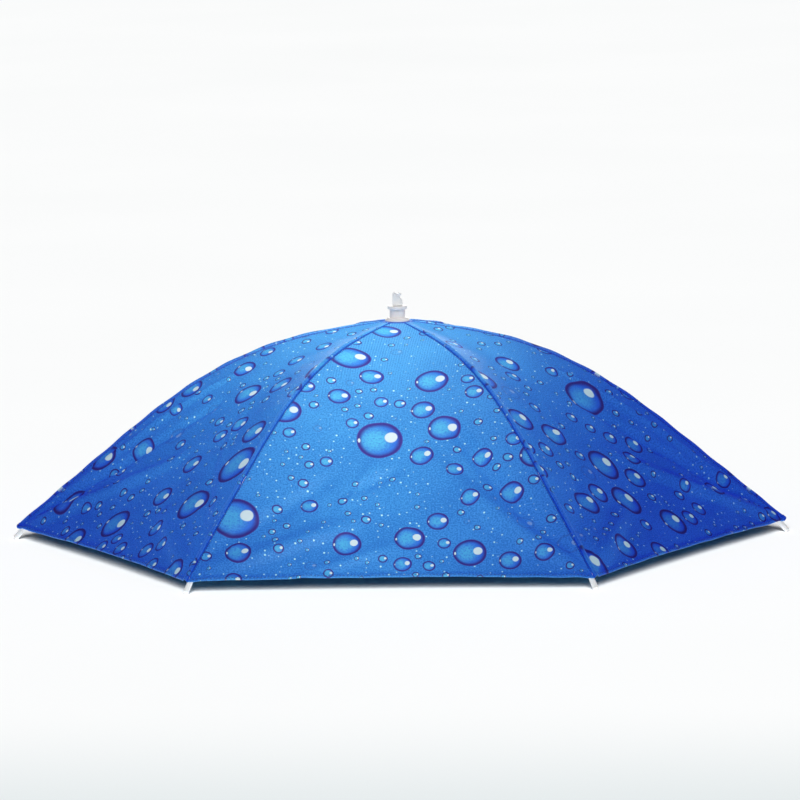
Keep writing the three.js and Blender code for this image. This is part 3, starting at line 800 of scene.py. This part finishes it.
def cloth_finish(name, print_strength, glow_strength):
    """Printed polyester: drops placed by the faces' attribute, fine specks and a plain weave, with
    painted shade and a painted highlight at the seams, a painted shadow round the cap, and a painted
    blue glow.
    """
    constants = {"Roughness": 0.45, "Specular IOR Level": 0.25, "Emission Strength": glow_strength}
    cloth = Finish(name, **constants)
    across, down, from_seam = cloth.parts(cloth.attribute("cloth"))
    centre_across, centre_down, signed_radius = cloth.parts(cloth.attribute("drop"))
    radius = abs(signed_radius)
    whole = cloth.math("GREATER_THAN", signed_radius, 0.0)

    flat_place = cloth.vector(across, down)
    tone = cloth.noise(flat_place, CLOTH_TONE, detail=3)
    grain = cloth.noise(flat_place, 1 / GRAIN_SIZE, detail=2)
    depth = cloth.step(tone * 0.25 + grain * 0.75, 0.41, 0.59)
    ground = cloth.mix(CLOTH_DEEP_BLUE, CLOTH_BLUE, depth)
    warp_lines = cloth.math("SINE", (across + down * 0.1) * (2 * math.pi / RIB_WEAVE_PITCH))
    warp_lines = (warp_lines * 0.5 + 0.5) * cloth.step(down, 0.21, 0.04)
    ground = cloth.mix(ground, PALE_WARP_AND_PAINTED_HIGHLIGHT, warp_lines * 0.65)

    x = (across - centre_across) / radius
    y = (centre_down - down) / radius
    wobble = cloth.noise(flat_place, DROP_WOBBLE, detail=0) - 0.5
    away = cloth.distance(x, y) * (1 + wobble * 0.15)
    inside = cloth.step(away, 1.0, 0.95)
    small = cloth.step(radius, 7 * MM, 3 * MM)
    outline = cloth.step(away + grain * 0.1 + small * 0.12, 0.74, 0.96) * inside
    outer_edge = cloth.step(away, 0.9, 1.0) * inside
    centre = cloth.step(cloth.distance(x + 0.18, y), 1.0, 0.15)
    mottle = cloth.noise(flat_place, DROP_MOTTLE, detail=3, roughness=0.7)
    fill_light = centre * (mottle * 2.2 + grain * 2.0 - 1.2) + small * 0.45

    glint = light_spot(cloth, x, y, GLINT_SPOT)
    tick = light_spot(cloth, x, y, TICK_SPOT) * cloth.step(radius, 6 * MM, 9 * MM)

    strong = whole * 0.75 + 0.25
    fine = cloth.step(radius, 1.5 * MM, 4 * MM) * 0.2 + 0.8
    printed = cloth.mix(ground, cloth.mix(DROP_SHADE, DROP_LIGHT, fill_light), inside * whole)
    printed = cloth.mix(printed, DROP_OUTLINE, outline * strong * fine)
    printed = cloth.mix(printed, DROP_OUTER_EDGE, outer_edge * 0.55 * strong)
    glint = cloth.larger(glint, tick) * strong * 0.95
    printed = cloth.mix(printed, GLINT, glint)

    cells = cloth.node(
        "ShaderNodeTexVoronoi",
        {"voronoi_dimensions": "2D"},
        {"Vector": flat_place, "Scale": 1 / SPECK_CELL, "Randomness": 1.0},
    )
    luck, chance, _ = cloth.parts(cloth.out(cells, "Color"))
    speck_radius = 0.045 + luck * 0.085
    crowd = cloth.step(cloth.noise(flat_place, SPECK_CROWDS, detail=1), 0.45, 0.62)
    speck = cloth.step(cloth.out(cells, "Distance") / speck_radius, 1.1, 0.6)
    speck = speck * cloth.math("GREATER_THAN", chance + crowd * 0.5, 0.74)
    speck = speck * cloth.step(away, 0.97, 1.05) * (0.55 + luck * 0.4)
    printed = cloth.mix(printed, SPECK, speck)

    # Painted shade: a dark navy line along the crease of every seam
    crease = cloth.step(abs(from_seam), CREASE_SHADE_WIDTH, 0.1 * MM) * 0.75
    inward = -1 / SEAM_WIDTH * from_seam
    below_cap = cloth.step(down, 0.03, 0.1)
    # Painted highlight: a lighter band along each welt, except close to the cap
    welt = cloth.step(inward, 0.25, 0.5) * cloth.step(inward, 0.98, 0.75)
    # Painted shade at the outer foot of each welt, except close to the cap
    painted_welt_foot_shade = cloth.step(inward, 0.0, 0.1) * cloth.step(inward, 1.2, 1.0)
    painted_welt_foot_shade = cloth.larger((painted_welt_foot_shade - welt) * below_cap, 0.0)
    # Painted shadow: a dark ring on the cloth just outside the cap's flange
    painted_cap_shadow = cloth.step(down, CAP_SHADOW_END, CAP_SHADOW_START) * 0.6
    dye_and_painted_light = cloth.mix(cloth.mix(ground, printed, print_strength), PAINTED_SHADE_NAVY, painted_cap_shadow)
    dye_and_painted_light = cloth.mix(dye_and_painted_light, PAINTED_SHADE_NAVY, painted_welt_foot_shade * 0.45)
    dye_and_painted_light = cloth.mix(dye_and_painted_light, PALE_WARP_AND_PAINTED_HIGHLIGHT, welt * below_cap * 0.36)
    cloth.set(Base_Color=cloth.mix(dye_and_painted_light, PAINTED_SHADE_NAVY, crease))

    # Painted glow: blue emission over the cloth, its print and its painted shade
    glow = cloth.mix(PAINTED_GLOW_DEEP_BLUE, PAINTED_GLOW_BLUE, depth)
    glow = cloth.mix(glow, FILL_GLOW, fill_light * inside * whole)
    glow = cloth.mix(glow, OUTLINE_GLOW, outline * strong)
    glow = cloth.mix(cloth.mix(glow, GLINT_GLOW, glint), SPECK_GLOW, speck)
    cloth.set(Emission_Color=cloth.mix(glow, PAINTED_SHADE_GLOW, cloth.larger(crease, painted_cap_shadow)))

    warp = cloth.math("SINE", across * (2 * math.pi / THREAD_PITCH))
    weft = cloth.math("SINE", down * (2 * math.pi / THREAD_PITCH))
    cloth.bump(warp * weft * 0.5 + grain, WEAVE_DEPTH, strength=0.6)
    return cloth.material


def thread_finish():
    thread = Finish("navy_thread", **{"Roughness": 0.7, "Sheen Weight": 0.2})
    tone = thread.noise(thread.object_place(), THREAD_FIBRES, detail=2)
    thread.set(Base_Color=thread.mix(*THREAD_BLUES, tone))
    thread.bump(tone, THREAD_DEPTH)
    return thread.material


def moulded_finish(name, look):
    """Injection-moulded plastic with faint flow marks and a fine orange peel, and a painted glow as
    strong as the look's glow.
    """
    constants = {"Specular IOR Level": 0.5, "Subsurface Weight": 0.1}
    glow = {"Emission Color": PLASTIC_GLOW, "Emission Strength": look["glow"]}
    plastic = Finish(name, **constants, **glow)
    place = plastic.object_place()
    flow = plastic.noise(place, FLOW_MARKS, detail=3)
    flow = plastic.step(flow, 0.3, 0.65)
    plastic.set(Base_Color=plastic.mix(look["dark"], look["pale"], flow))
    peel = plastic.noise(place, ORANGE_PEEL, detail=2)
    plastic.set(Roughness=peel * 0.12 + 0.32)
    plastic.bump(peel, PEEL_DEPTH, strength=0.5)
    return plastic.material


def clear_finish():
    """Frosted clear plastic of the snap post."""
    constants = {"IOR": 1.49, "Transmission Weight": 0.35, "Specular IOR Level": 0.5}
    clear = Finish("clear_plastic", **constants)
    frost = clear.noise(clear.object_place(), FROST, detail=3)
    clear.set(Base_Color=clear.mix(*FROSTED_WHITES, frost))
    clear.set(Roughness=frost * 0.3 + 0.3)
    clear.bump(frost, FROST_DEPTH, strength=0.6)
    return clear.material


def steel_finish():
    """Plated spring steel with drawing marks."""
    steel = Finish("plated_steel", **{"Metallic": 1.0})
    marks = steel.noise(steel.object_place(), DRAWING_MARKS, detail=4, roughness=0.7)
    steel.set(Base_Color=steel.mix(*STEEL_GREYS, marks))
    steel.set(Roughness=marks * 0.25 + 0.22)
    steel.bump(marks, MARK_DEPTH, strength=0.4)
    return steel.material


def elastic_finish():
    """Knitted elastic: fine courses across the ridges of the band."""
    elastic = Finish("woven_elastic", **{"Sheen Weight": 0.4, "Specular IOR Level": 0.2})
    x, y, z = elastic.parts(elastic.object_place())
    round_place = elastic.math("ARCTAN2", y, x) * (BAND_INNER_DIAMETER / 2)
    courses = elastic.math("SINE", round_place * (2 * math.pi / ELASTIC_COURSE))
    yarn = elastic.noise(elastic.vector(round_place, z), ELASTIC_YARN, detail=3)
    elastic.set(Base_Color=elastic.mix(*ELASTIC_BLACKS, yarn))
    elastic.set(Roughness=yarn * 0.1 + 0.8)
    elastic.bump(courses * 0.5 + yarn, KNIT_DEPTH, strength=0.8)
    return elastic.material


def floor_finish():
    floor = Finish("pale_floor", **{"Roughness": 0.8, "Specular IOR Level": 0.1})
    place = floor.object_place()
    _, depth, _ = floor.parts(place)
    paper = floor.mix(*FLOOR_WHITES, floor.noise(place, FLOOR_CLOUDS))
    # Painted shade: the floor grows darker towards its near side
    near = floor.step(depth, NEAR_FLOOR_START, NEAR_FLOOR_END)
    floor.set(Base_Color=floor.mix(paper, PAINTED_NEAR_FLOOR_SHADE, near))
    return floor.material


# Pieces
def canopy_panel(index, upper_finish, inner_finish):
    """One gore of cloth as a thin closed sheet that keeps its place on the cloth and its drops."""
    side, radius, rim = gore_grid()
    upper, outward = gore_surface(index, side, radius, rim)
    thickness = CLOTH_THICKNESS + hem_rise(radius, rim)
    lower = upper - outward * thickness[..., None]
    columns, rows = radius.shape
    count = columns * rows
    points = np.concatenate([upper.reshape(-1, 3), lower.reshape(-1, 3)])

    c, r = np.meshgrid(np.arange(columns - 1), np.arange(rows - 1), indexing="ij")
    corner = (c * rows + r).ravel()
    top = np.stack([corner, corner + 1, corner + rows + 1, corner + rows], axis=1)
    bottom = top[:, ::-1] + count

    def wall(here, there):
        """Faces along one border, from the upper to the lower layer."""
        return np.stack([here, there, there + count, here + count], axis=1)

    along_rows = np.arange(rows - 1)
    along_columns = np.arange(columns - 1) * rows
    last = (columns - 1) * rows
    left = wall(along_rows + 1, along_rows)
    right = wall(along_rows + last, along_rows + 1 + last)
    inner = wall(along_columns, along_columns + rows)
    outer = inner[:, ::-1] + rows - 1
    faces = np.concatenate([top, bottom, left, right, inner, outer])

    name = f"panel_{index + 1}"
    mesh = mesh_of(name, turned_about_z(points, facing(index)), faces)
    from_seam = (half_width(radius) - np.abs(side)) * np.where(lapped_edge(index, side), -1, 1)
    cloth = np.stack([side.ravel(), cloth_run(radius).ravel(), from_seam.ravel()], axis=1)
    cloth = np.concatenate([cloth, cloth])
    store(mesh, "cloth", "POINT", cloth)

    drops = scattered_drops(PRINT_SEED + index)
    centres = cloth[faces].mean(axis=1)
    distance = np.linalg.norm(centres[:, None, :2] - drops[None, :, :2], axis=2)
    nearest = np.argmin(distance - np.abs(drops[None, :, 2]), axis=1)
    store(mesh, "drop", "FACE", drops[nearest])

    piece = outward_check(new_object(name, mesh))
    shade(piece, upper_finish, inner_finish, angle=50)
    inside = np.zeros(len(faces), np.int32)
    inside[len(top):len(top) + len(bottom)] = 1
    mesh.polygons.foreach_set("material_index", inside)

    half = half_width(radius[columns // 2])
    run = cloth_run(radius[columns // 2])
    area = float(np.sum((half[1:] + half[:-1]) * np.diff(run)))
    flat = (float(2 * half.max()), float(run.max() - run.min()))
    return piece, flat, area


def outward_check(piece):
    """Stops the script if a closed sheet is inside out."""
    shell = bmesh.new()
    shell.from_mesh(piece.data)
    volume = shell.calc_volume(signed=True)
    shell.free()
    if volume <= 0:
        raise ValueError(f"{piece.name} is inside out")
    return piece


def stitch_tree(thread):
    """Geometry Nodes: a small rounded stitch at every pitch along the lines of the mesh."""
    tree = bpy.data.node_groups.new("stitches_along_lines", "GeometryNodeTree")
    sockets = [("Pitch", STITCH_PITCH), ("Length", STITCH_LENGTH), ("Width", STITCH_WIDTH)]
    tree.interface.new_socket("Geometry", in_out="INPUT", socket_type="NodeSocketGeometry")
    for name, size in sockets:
        socket = tree.interface.new_socket(name, in_out="INPUT", socket_type="NodeSocketFloat")
        socket.default_value = size
    tree.interface.new_socket("Geometry", in_out="OUTPUT", socket_type="NodeSocketGeometry")

    def add(kind, values, **settings):
        return add_node(tree, kind, settings, values).outputs

    entry = add("NodeGroupInput", {})
    lines = add("GeometryNodeMeshToCurve", {"Mesh": entry["Geometry"]})
    spaced = add(
        "GeometryNodeResampleCurve",
        {"Curve": lines["Curve"], "Length": entry["Pitch"]},
        mode="LENGTH",
    )
    ball = add("GeometryNodeMeshUVSphere", {"Segments": 6, "Rings": 4, "Radius": 0.5})
    sizes = {"X": entry["Length"], "Y": entry["Width"], "Z": entry["Width"]}
    size = add("ShaderNodeCombineXYZ", sizes)
    stitch = add("GeometryNodeTransform", {"Geometry": ball["Mesh"], "Scale": size["Vector"]})
    tangent = add("GeometryNodeInputTangent", {})
    align = "FunctionNodeAlignRotationToVector"
    along = add(align, {"Vector": tangent["Tangent"]}, axis="X")
    outward = add("GeometryNodeInputNamedAttribute", {"Name": "outward"}, data_type="FLOAT_VECTOR")
    turns = {"Rotation": along["Rotation"], "Vector": outward["Attribute"]}
    upright = add(align, turns, axis="Z", pivot_axis="X")
    row = {
        "Points": spaced["Curve"],
        "Instance": stitch["Geometry"],
        "Rotation": upright["Rotation"],
    }
    copies = add("GeometryNodeInstanceOnPoints", row)
    real = add("GeometryNodeRealizeInstances", {"Geometry": copies["Instances"]})
    finished = add("GeometryNodeSetMaterial", {"Geometry": real["Geometry"], "Material": thread})
    add("NodeGroupOutput", {"Geometry": finished["Geometry"]})
    return tree


def stitch_line(index, side, radius, rim):
    """Points just above the cloth of a gore in its place, and the way out of the cloth there."""
    points, outward = gore_surface(index, side, radius, rim)
    angle = facing(index)
    return turned_about_z(points + outward * STITCH_PROUD, angle), turned_about_z(outward, angle)


def seam_lines():
    """Lines beside every seam's crease, on the gore that the seam allowance doesn't cover."""
    start, end = clamp_radius * SEAM_STITCH_START, reach - HEM_WIDTH * SEAM_STITCH_STOP
    radius = np.arange(start, end, STITCH_LINE_STEP)
    rim = np.full_like(radius, cloth_reach)
    lines = []
    for index, gore in enumerate(GORE_PLAN):
        for sign, lapped in ((-1, gore["lap_left"]), (1, gore["lap_right"])):
            if not lapped:
                side = sign * (half_width(radius) - SEAM_STITCH_INSET)
                lines.append(stitch_line(index, side, radius, rim))
    return lines


def hem_lines():
    """A line along the hem of every gore, a little above its edge."""
    share = np.linspace(-HEM_STITCH_SPAN, HEM_STITCH_SPAN, HEM_STITCH_POINTS)
    rim = hem_radius(share)
    radius = rim - HEM_STITCH_INSET * math.cos(RIM_SLOPE)
    side = share * half_width(radius)
    return [stitch_line(index, side, radius, rim) for index in range(GORES)]


def stitched(name, lines, tree, scale):
    """A piece of real stitches along lines of points, each with the way out of the cloth."""
    points = np.concatenate([line for line, _ in lines])
    edges = []
    start = 0
    for line, _ in lines:
        edges += [(i, i + 1) for i in range(start, start + len(line) - 1)]
        start += len(line)
    mesh = bpy.data.meshes.new(name)
    mesh.from_pydata(points.tolist(), edges, [])
    store(mesh, "outward", "POINT", np.concatenate([out for _, out in lines]))
    piece = new_object(name, mesh)
    sewing = piece.modifiers.new("sewing", "NODES")
    sewing.node_group = tree
    sizes = {"Pitch": STITCH_PITCH * scale, "Length": STITCH_LENGTH * scale}
    for item in tree.interface.items_tree:
        if item.in_out == "INPUT" and item.name in sizes:
            sewing[item.identifier] = sizes[item.name]
    bpy.context.view_layer.update()
    flattened(piece)
    piece.data.shade_smooth()
    return piece


def cap_piece(finish):
    """Flange with a conical top, neck and collar, bored for the post."""
    low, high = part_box("canopy_cap")
    bore = POST_DIAMETER / 2 + GAP
    rim = CAP_FLANGE_DIAMETER / 2
    flange_top = low.z + CAP_FLANGE_THICKNESS
    neck = CAP_NECK_DIAMETER / 2
    collar = neck + CAP_COLLAR_OVERHANG
    neck_top = flange_top + CAP_NECK_HEIGHT
    outline = [
        (bore, low.z),
        (rim, low.z),
        (rim, low.z + CAP_FLANGE_RIM),
        (rim - CAP_FLANGE_TAPER, flange_top),
        (neck, flange_top),
        (neck, neck_top),
        (collar, neck_top),
        (collar, high.z),
        (bore, high.z),
    ]
    piece = turned_piece("cap", rounded(outline, CAP_EASE), ROUND_SIDES)
    return shade(piece, finish, angle=40)


def crown_piece(name, node, start, offset, width, floor, finish):
    """A bored round with one open slot for each rib or strut, and room beside what turns in it."""
    low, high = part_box(node)
    bore = POST_DIAMETER / 2 + GAP
    outer = (high.x - low.x) / 2
    outline = [(bore, low.z), (outer, low.z), (outer, high.z), (bore, high.z)]
    piece = turned_piece(name, rounded(outline, CROWN_EASE), ROUND_SIDES)
    half = width / 2 + GAP
    slot_low = (start - GAP, offset - half, floor)
    slot_high = (2 * outer, offset + half, high.z + outer)
    for index in range(GORES):
        cutter = placed(box_piece(slot_low, slot_high), rib_turn(index))
        combined(piece, cutter, "DIFFERENCE")
    return shade(piece, finish, angle=35)


def box_piece(low, high):
    mesh = bpy.data.meshes.new("block")
    block = bmesh.new()
    bmesh.ops.create_cube(block, size=1)
    block.to_mesh(mesh)
    block.free()
    size = Vector(high) - Vector(low)
    middle = (Vector(high) + Vector(low)) / 2
    place = Matrix.Translation(middle) @ Matrix.Diagonal((*size, 1))
    return placed(new_object("block", mesh), place)


def post_piece(finish):
    """Button under the runner, shaft, and the split tongue that shows above the cap."""
    low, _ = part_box("snap_post")
    _, cap_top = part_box("canopy_cap")
    tongue_bottom = cap_top.z + GAP
    button_top = low.z + POST_BUTTON_HEIGHT
    button = POST_BUTTON_DIAMETER / 2
    shaft = POST_DIAMETER / 2
    outline = [
        (0, low.z),
        (button - POST_EASE, low.z),
        (button, low.z + POST_EASE),
        (button, button_top - POST_EASE),
        (button - POST_EASE, button_top),
        (shaft, button_top),
        (shaft, tongue_bottom + TONGUE_HEIGHT / 2),
        (0, tongue_bottom + TONGUE_HEIGHT / 2),
    ]
    piece = turned_piece("post", outline, POST_SIDES)
    corners = [
        (row["across"] * TONGUE_WIDTH + TONGUE_OFFSET, tongue_bottom + row["up"] * TONGUE_HEIGHT)
        for row in TONGUE_OUTLINE
    ]
    count = len(corners)
    points = [(x, side * TONGUE_DEPTH / 2, z) for side in (-1, 1) for x, z in corners]
    faces = [tuple(range(count)), tuple(range(2 * count - 1, count - 1, -1))]
    for i in range(count):
        after = (i + 1) % count
        faces.append((i, after, after + count, i + count))
    tongue = outward_normals(new_object("tongue", mesh_of("tongue", points, faces)))
    bevelled(tongue, TONGUE_EASE, segments=3)
    return shade(combined(piece, tongue, "UNION"), finish, angle=40)


def rib_points():
    """Middle line of a rib: under the cloth, then straight into the bore of its tip."""
    last = shoulder[0] - RIB_STRAIGHT_LENGTH - TIP_SLEEVE_LENGTH
    control = [
        under_cloth(RIB_START_RADIUS + (last - RIB_START_RADIUS) * i / RIB_POINTS, rib_depth)
        for i in range(RIB_POINTS + 1)
    ]
    tip_length = TIP_EXPOSED + TIP_SLEEVE_LENGTH
    for distance in (tip_length + RIB_LEAD_LENGTH, tip_length, TIP_END_WALL + GAP):
        control.append(tip_end - tip_axis * distance)
    control = np.array(control)
    ends = np.concatenate([[2 * control[0] - control[1]], control, [2 * control[-1] - control[-2]]])
    points = []
    for i in range(len(control) - 1):
        a, b, c, d = ends[i:i + 4]
        for t in np.arange(RIB_STEPS) / RIB_STEPS:
            square = (2 * a - 5 * b + 4 * c - d) * t**2
            cube = (3 * b - a - 3 * c + d) * t**3
            points.append(0.5 * (2 * b + (c - a) * t + square + cube))
    points.append(control[-1])
    return np.array(points)


def rod_mesh(name, line, radius, sides):
    """A round rod along a line in the XZ plane, with eased ends."""
    along = np.gradient(line, axis=0)
    along /= np.linalg.norm(along, axis=1)[:, None]
    up = np.stack([-along[:, 2], np.zeros(len(line)), along[:, 0]], axis=1)
    turns = np.arange(sides) * 2 * math.pi / sides
    rings = []
    for i, point in enumerate(line):
        shrink = RIB_END_SHRINK if i in (0, len(line) - 1) else 1
        for turn in turns:
            around = up[i] * math.cos(turn) + np.array([0, 1, 0]) * math.sin(turn)
            rings.append(point + around * radius * shrink)
    faces = [tuple(range(sides)), tuple(range(len(rings) - 1, len(rings) - sides - 1, -1))]
    for i in range(len(line) - 1):
        for j in range(sides):
            after = (j + 1) % sides
            faces.append(
                (i * sides + j, i * sides + after, (i + 1) * sides + after, (i + 1) * sides + j)
            )
    return mesh_of(name, rings, faces)


def rib_piece(index, finish):
    name = f"rib_{index + 1}_rod"
    piece = new_object(name, rod_mesh(name, rib_points(), RIB_DIAMETER / 2, RIB_SIDES))
    placed(outward_normals(piece), rib_turn(index))
    return shade(piece, finish, angle=50)


def tip_piece(index, finish):
    """A tip: solid end, shoulder, and a sleeve under the cloth that the rib is pushed into."""
    name = f"tip_{index + 1}"
    outer = tip_diameter / 2
    bore = RIB_DIAMETER / 2 + GAP
    length = TIP_EXPOSED + TIP_SLEEVE_LENGTH
    ease = TIP_CHAMFER / (1 + math.tan(TIP_SLOPE) - 1 / math.cos(TIP_SLOPE))
    turns = np.linspace(0, math.pi / 2, TIP_ROUND_STEPS + 1)
    outline = [(0, 0)]
    outline += [(outer - ease * (1 - math.sin(t)), ease * (1 - math.cos(t))) for t in turns]
    outline += [
        (outer * TIP_WAIST, TIP_EXPOSED / 2),
        (outer, TIP_EXPOSED - TIP_EASE),
        (outer - TIP_EASE / 2, TIP_EXPOSED),
        (sleeve_diameter / 2, TIP_EXPOSED),
        (sleeve_diameter / 2, length - TIP_EASE),
        (sleeve_diameter / 2 - TIP_EASE * 0.75, length),
        (bore, length),
        (bore, TIP_END_WALL),
        (0, TIP_END_WALL),
    ]
    piece = turned_piece(name, outline, TIP_SIDES)
    lean = Vector((0, 0, 1)).rotation_difference(Vector(-tip_axis)).to_matrix().to_4x4()
    place = rib_turn(index) @ Matrix.Translation(tip_end) @ lean
    return shade(placed(piece, place), finish, angle=40)


def softened(name, node, width, finish):
    """A copy of a moulded or stamped solid with its edges eased."""
    piece = new_object(name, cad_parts[node].data.copy())
    piece.data.materials.clear()
    shell = bmesh.new()
    shell.from_mesh(piece.data)
    bmesh.ops.remove_doubles(shell, verts=shell.verts, dist=SAME_SOLID_POINT)
    bmesh.ops.dissolve_limit(
        shell, angle_limit=FLAT_ANGLE, verts=shell.verts, edges=shell.edges
    )
    shell.to_mesh(piece.data)
    shell.free()
    return shade(bevelled(piece, width, angle=32), finish, angle=35)


def band_piece(finish):
    """Knitted elastic band with soft edges and shallow ridges all the way round."""
    low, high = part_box("headband")
    inner = BAND_INNER_DIAMETER / 2
    outer = inner + BAND_THICKNESS
    levels = np.linspace(low.z + BAND_ROUND, high.z - BAND_ROUND, BAND_RIDGES * BAND_RIDGE_STEPS + 1)
    wave = (1 - np.cos(2 * math.pi * np.linspace(0, BAND_RIDGES, len(levels)))) / 2
    outside = [(outer - BAND_RIDGE_DEPTH * (1 - w), z) for w, z in zip(wave, levels)]
    inside = [(inner + BAND_RIDGE_DEPTH * (1 - w), z) for w, z in zip(wave, levels)]
    top = [(outer - BAND_ROUND, high.z), (inner + BAND_ROUND, high.z)]
    bottom = [(inner + BAND_ROUND, low.z), (outer - BAND_ROUND, low.z)]
    outline = outside + top + inside[::-1] + bottom
    return shade(turned_piece("elastic_band", outline, BAND_SIDES), finish, angle=60)


# Stage
FLOOR_REACH = 60
FLOOR_SUN = {"place": (0, -3, 1.6), "power": 7.1, "angle": 28}

# Softboxes, with their power in watts and spread in degrees, and the pieces that each is kept to
# by INCLUDE or kept off by EXCLUDE. The finial is the cap with its post.
LAMPS = table(
    "name place target size power spread pieces state",
    ("front", (0.45, -2.4, 1.5), (-0.045, -0.13, 0.16), (0.12, 0.5), 0.44, 10.5, "both", "EXCLUDE"),
    ("crown", (0, -0.4, 1.25), (0, -0.015, 0.2), (0.2, 0.2), 0.175, 19, "both", "EXCLUDE"),
    ("finial", (0.12, -0.85, 1.15), (0, 0, 0.21), (0.25, 0.25), 11, 180, "finial", "INCLUDE"),
    ("back", (0, 2.6, 0.55), (0, 0, 0.1), (1.6, 0.5), 16, 180, "floor", "EXCLUDE"),
)


def floor_plane():
    corners = np.array([(-1, -1, 0), (1, -1, 0), (1, 1, 0), (-1, 1, 0)]) * FLOOR_REACH
    floor = new_object("floor", mesh_of("floor", corners, [(0, 1, 2, 3)]))
    floor.data.materials.append(floor_finish())
    return floor


def lamp_at(name, kind, place, target, power):
    light = bpy.data.lights.new(name, kind)
    light.energy = power
    lamp = bpy.data.objects.new(name, light)
    bpy.context.scene.collection.objects.link(lamp)
    lamp.location = place
    lamp.rotation_euler = (Vector(target) - Vector(place)).to_track_quat("-Z", "Y").to_euler()
    return lamp


def link_light(lamp, pieces, state):
    """Keeps a lamp to some pieces with INCLUDE, or off them with EXCLUDE."""
    linked = bpy.data.collections.new(f"{lamp.name}_pieces")
    for piece in pieces:
        linked.objects.link(piece)
    for entry in linked.collection_objects:
        entry.light_linking.link_state = state
    lamp.light_linking.receiver_collection = linked


def studio(floor, finial):
    sun = lamp_at("floor_light", "SUN", FLOOR_SUN["place"], (0, 0, 0), FLOOR_SUN["power"])
    sun.data.angle = math.radians(FLOOR_SUN["angle"])
    link_light(sun, [floor], "INCLUDE")
    groups = {"floor": [floor], "finial": finial, "both": [floor, *finial]}
    for row in LAMPS:
        lamp = lamp_at(row["name"], "AREA", row["place"], row["target"], row["power"])
        lamp.data.shape = "RECTANGLE"
        lamp.data.size, lamp.data.size_y = row["size"]
        lamp.data.spread = math.radians(row["spread"])
        link_light(lamp, groups[row["pieces"]], row["state"])

    world = bpy.data.worlds.new("studio")
    bpy.context.scene.world = world
    world.use_nodes = True
    tree = world.node_tree
    tree.nodes.clear()
    seen = add_node(tree, "ShaderNodeBackground", {}, {"Color": SEEN_SKY})
    sky = {"Color": LIT_SKY, "Strength": SKY_STRENGTH}
    lighting = add_node(tree, "ShaderNodeBackground", {}, sky)
    path = add_node(tree, "ShaderNodeLightPath", {}, {})
    skies = {"Fac": path.outputs["Is Camera Ray"], 1: lighting.outputs[0], 2: seen.outputs[0]}
    mix = add_node(tree, "ShaderNodeMixShader", {}, skies)
    add_node(tree, "ShaderNodeOutputWorld", {}, {"Surface": mix.outputs[0]})
    bpy.context.scene.view_settings.view_transform = "Standard"
    bpy.context.scene.view_settings.look = "None"


def camera():
    lens = bpy.data.cameras.new("camera")
    lens.sensor_width = SENSOR
    lens.sensor_fit = "HORIZONTAL"
    lens.lens = SENSOR * FOCAL_PIXELS / IMAGE_PIXELS
    lens.clip_end = VIEW_LIMIT
    view = bpy.data.objects.new("camera", lens)
    bpy.context.scene.collection.objects.link(view)
    azimuth, elevation = math.radians(VIEW_AZIMUTH), math.radians(VIEW_ELEVATION)
    back = Vector((
        math.sin(azimuth) * math.cos(elevation),
        -math.cos(azimuth) * math.cos(elevation),
        math.sin(elevation),
    ))
    view.location = Vector((AIM_ACROSS, 0, AIM_HEIGHT)) + back * VIEW_DISTANCE
    view.rotation_mode = "QUATERNION"
    level = (-back).to_track_quat("-Z", "Y")
    view.rotation_quaternion = level @ Quaternion((0, 0, 1), -math.radians(VIEW_ROLL))
    bpy.context.scene.camera = view


def stands_for(piece, slot, *nodes):
    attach(piece, "root")
    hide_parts(*nodes)


# Small pieces on every rib that are made from their own solids
RIB_FITTINGS = table(
    "name node ease slot",
    ("saddle", "rib_joint", SADDLE_EASE, "white_plastic"),
    ("strut", "stretcher", STRUT_EASE, "rib_steel"),
    ("arm", "band_arm", ARM_EASE, "white_plastic"),
)


def build_hat():
    printed = cloth_finish("printed_cloth", print_strength=1.0, glow_strength=1.0)
    inside = cloth_finish("printed_cloth_inside", print_strength=0.45, glow_strength=0.06)
    white = moulded_finish("white_plastic", WHITE_PLASTIC)
    milky = moulded_finish("milky_plastic", MILKY_PLASTIC)
    steel = steel_finish()
    clear = clear_finish()
    finishes = {"white_plastic": white, "rib_steel": steel}
    for index in range(GORES):
        number = index + 1
        panel, flat, area = canopy_panel(index, printed, inside)
        stands_for(panel, "canopy_cloth", f"canopy_panel_{number}")
        stands_for(rib_piece(index, steel), "rib_steel", f"rib_{number}")
        stands_for(tip_piece(index, milky), "white_plastic", f"rib_tip_{number}")
        for row in RIB_FITTINGS:
            name, node = f"{row['name']}_{number}", f"{row['node']}_{number}"
            stands_for(softened(name, node, row["ease"], finishes[row["slot"]]), row["slot"], node)

    tree = stitch_tree(thread_finish())
    rows = {"seam_stitches": (seam_lines(), 1), "hem_stitches": (hem_lines(), HEM_STITCH_SCALE)}
    for name, (lines, scale) in rows.items():
        sewn = stitched(name, lines, tree, scale)
        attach(sewn, "root")

    cap, post = cap_piece(white), post_piece(clear)
    stands_for(cap, "white_plastic", "canopy_cap")
    stands_for(post, "clear_plastic", "snap_post")
    _, hub_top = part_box("top_hub")
    floor = hub_top.z - HUB_SLOT_DEPTH
    hub = crown_piece("hub", "top_hub", RIB_START_RADIUS, 0, RIB_DIAMETER, floor, white)
    stands_for(hub, "white_plastic", "top_hub")
    runner_low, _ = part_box("runner")
    floor = runner_low.z + RUNNER_SLOT_FLOOR
    strut = (STRUT_START_RADIUS, STRUT_OFFSET, STRUT_THICKNESS)
    slider = crown_piece("slider", "runner", *strut, floor, white)
    stands_for(slider, "white_plastic", "runner")
    stands_for(band_piece(elastic_finish()), "band_elastic", "headband")
    return [cap, post]


camera()
finial = build_hat()
studio(floor_plane(), finial)
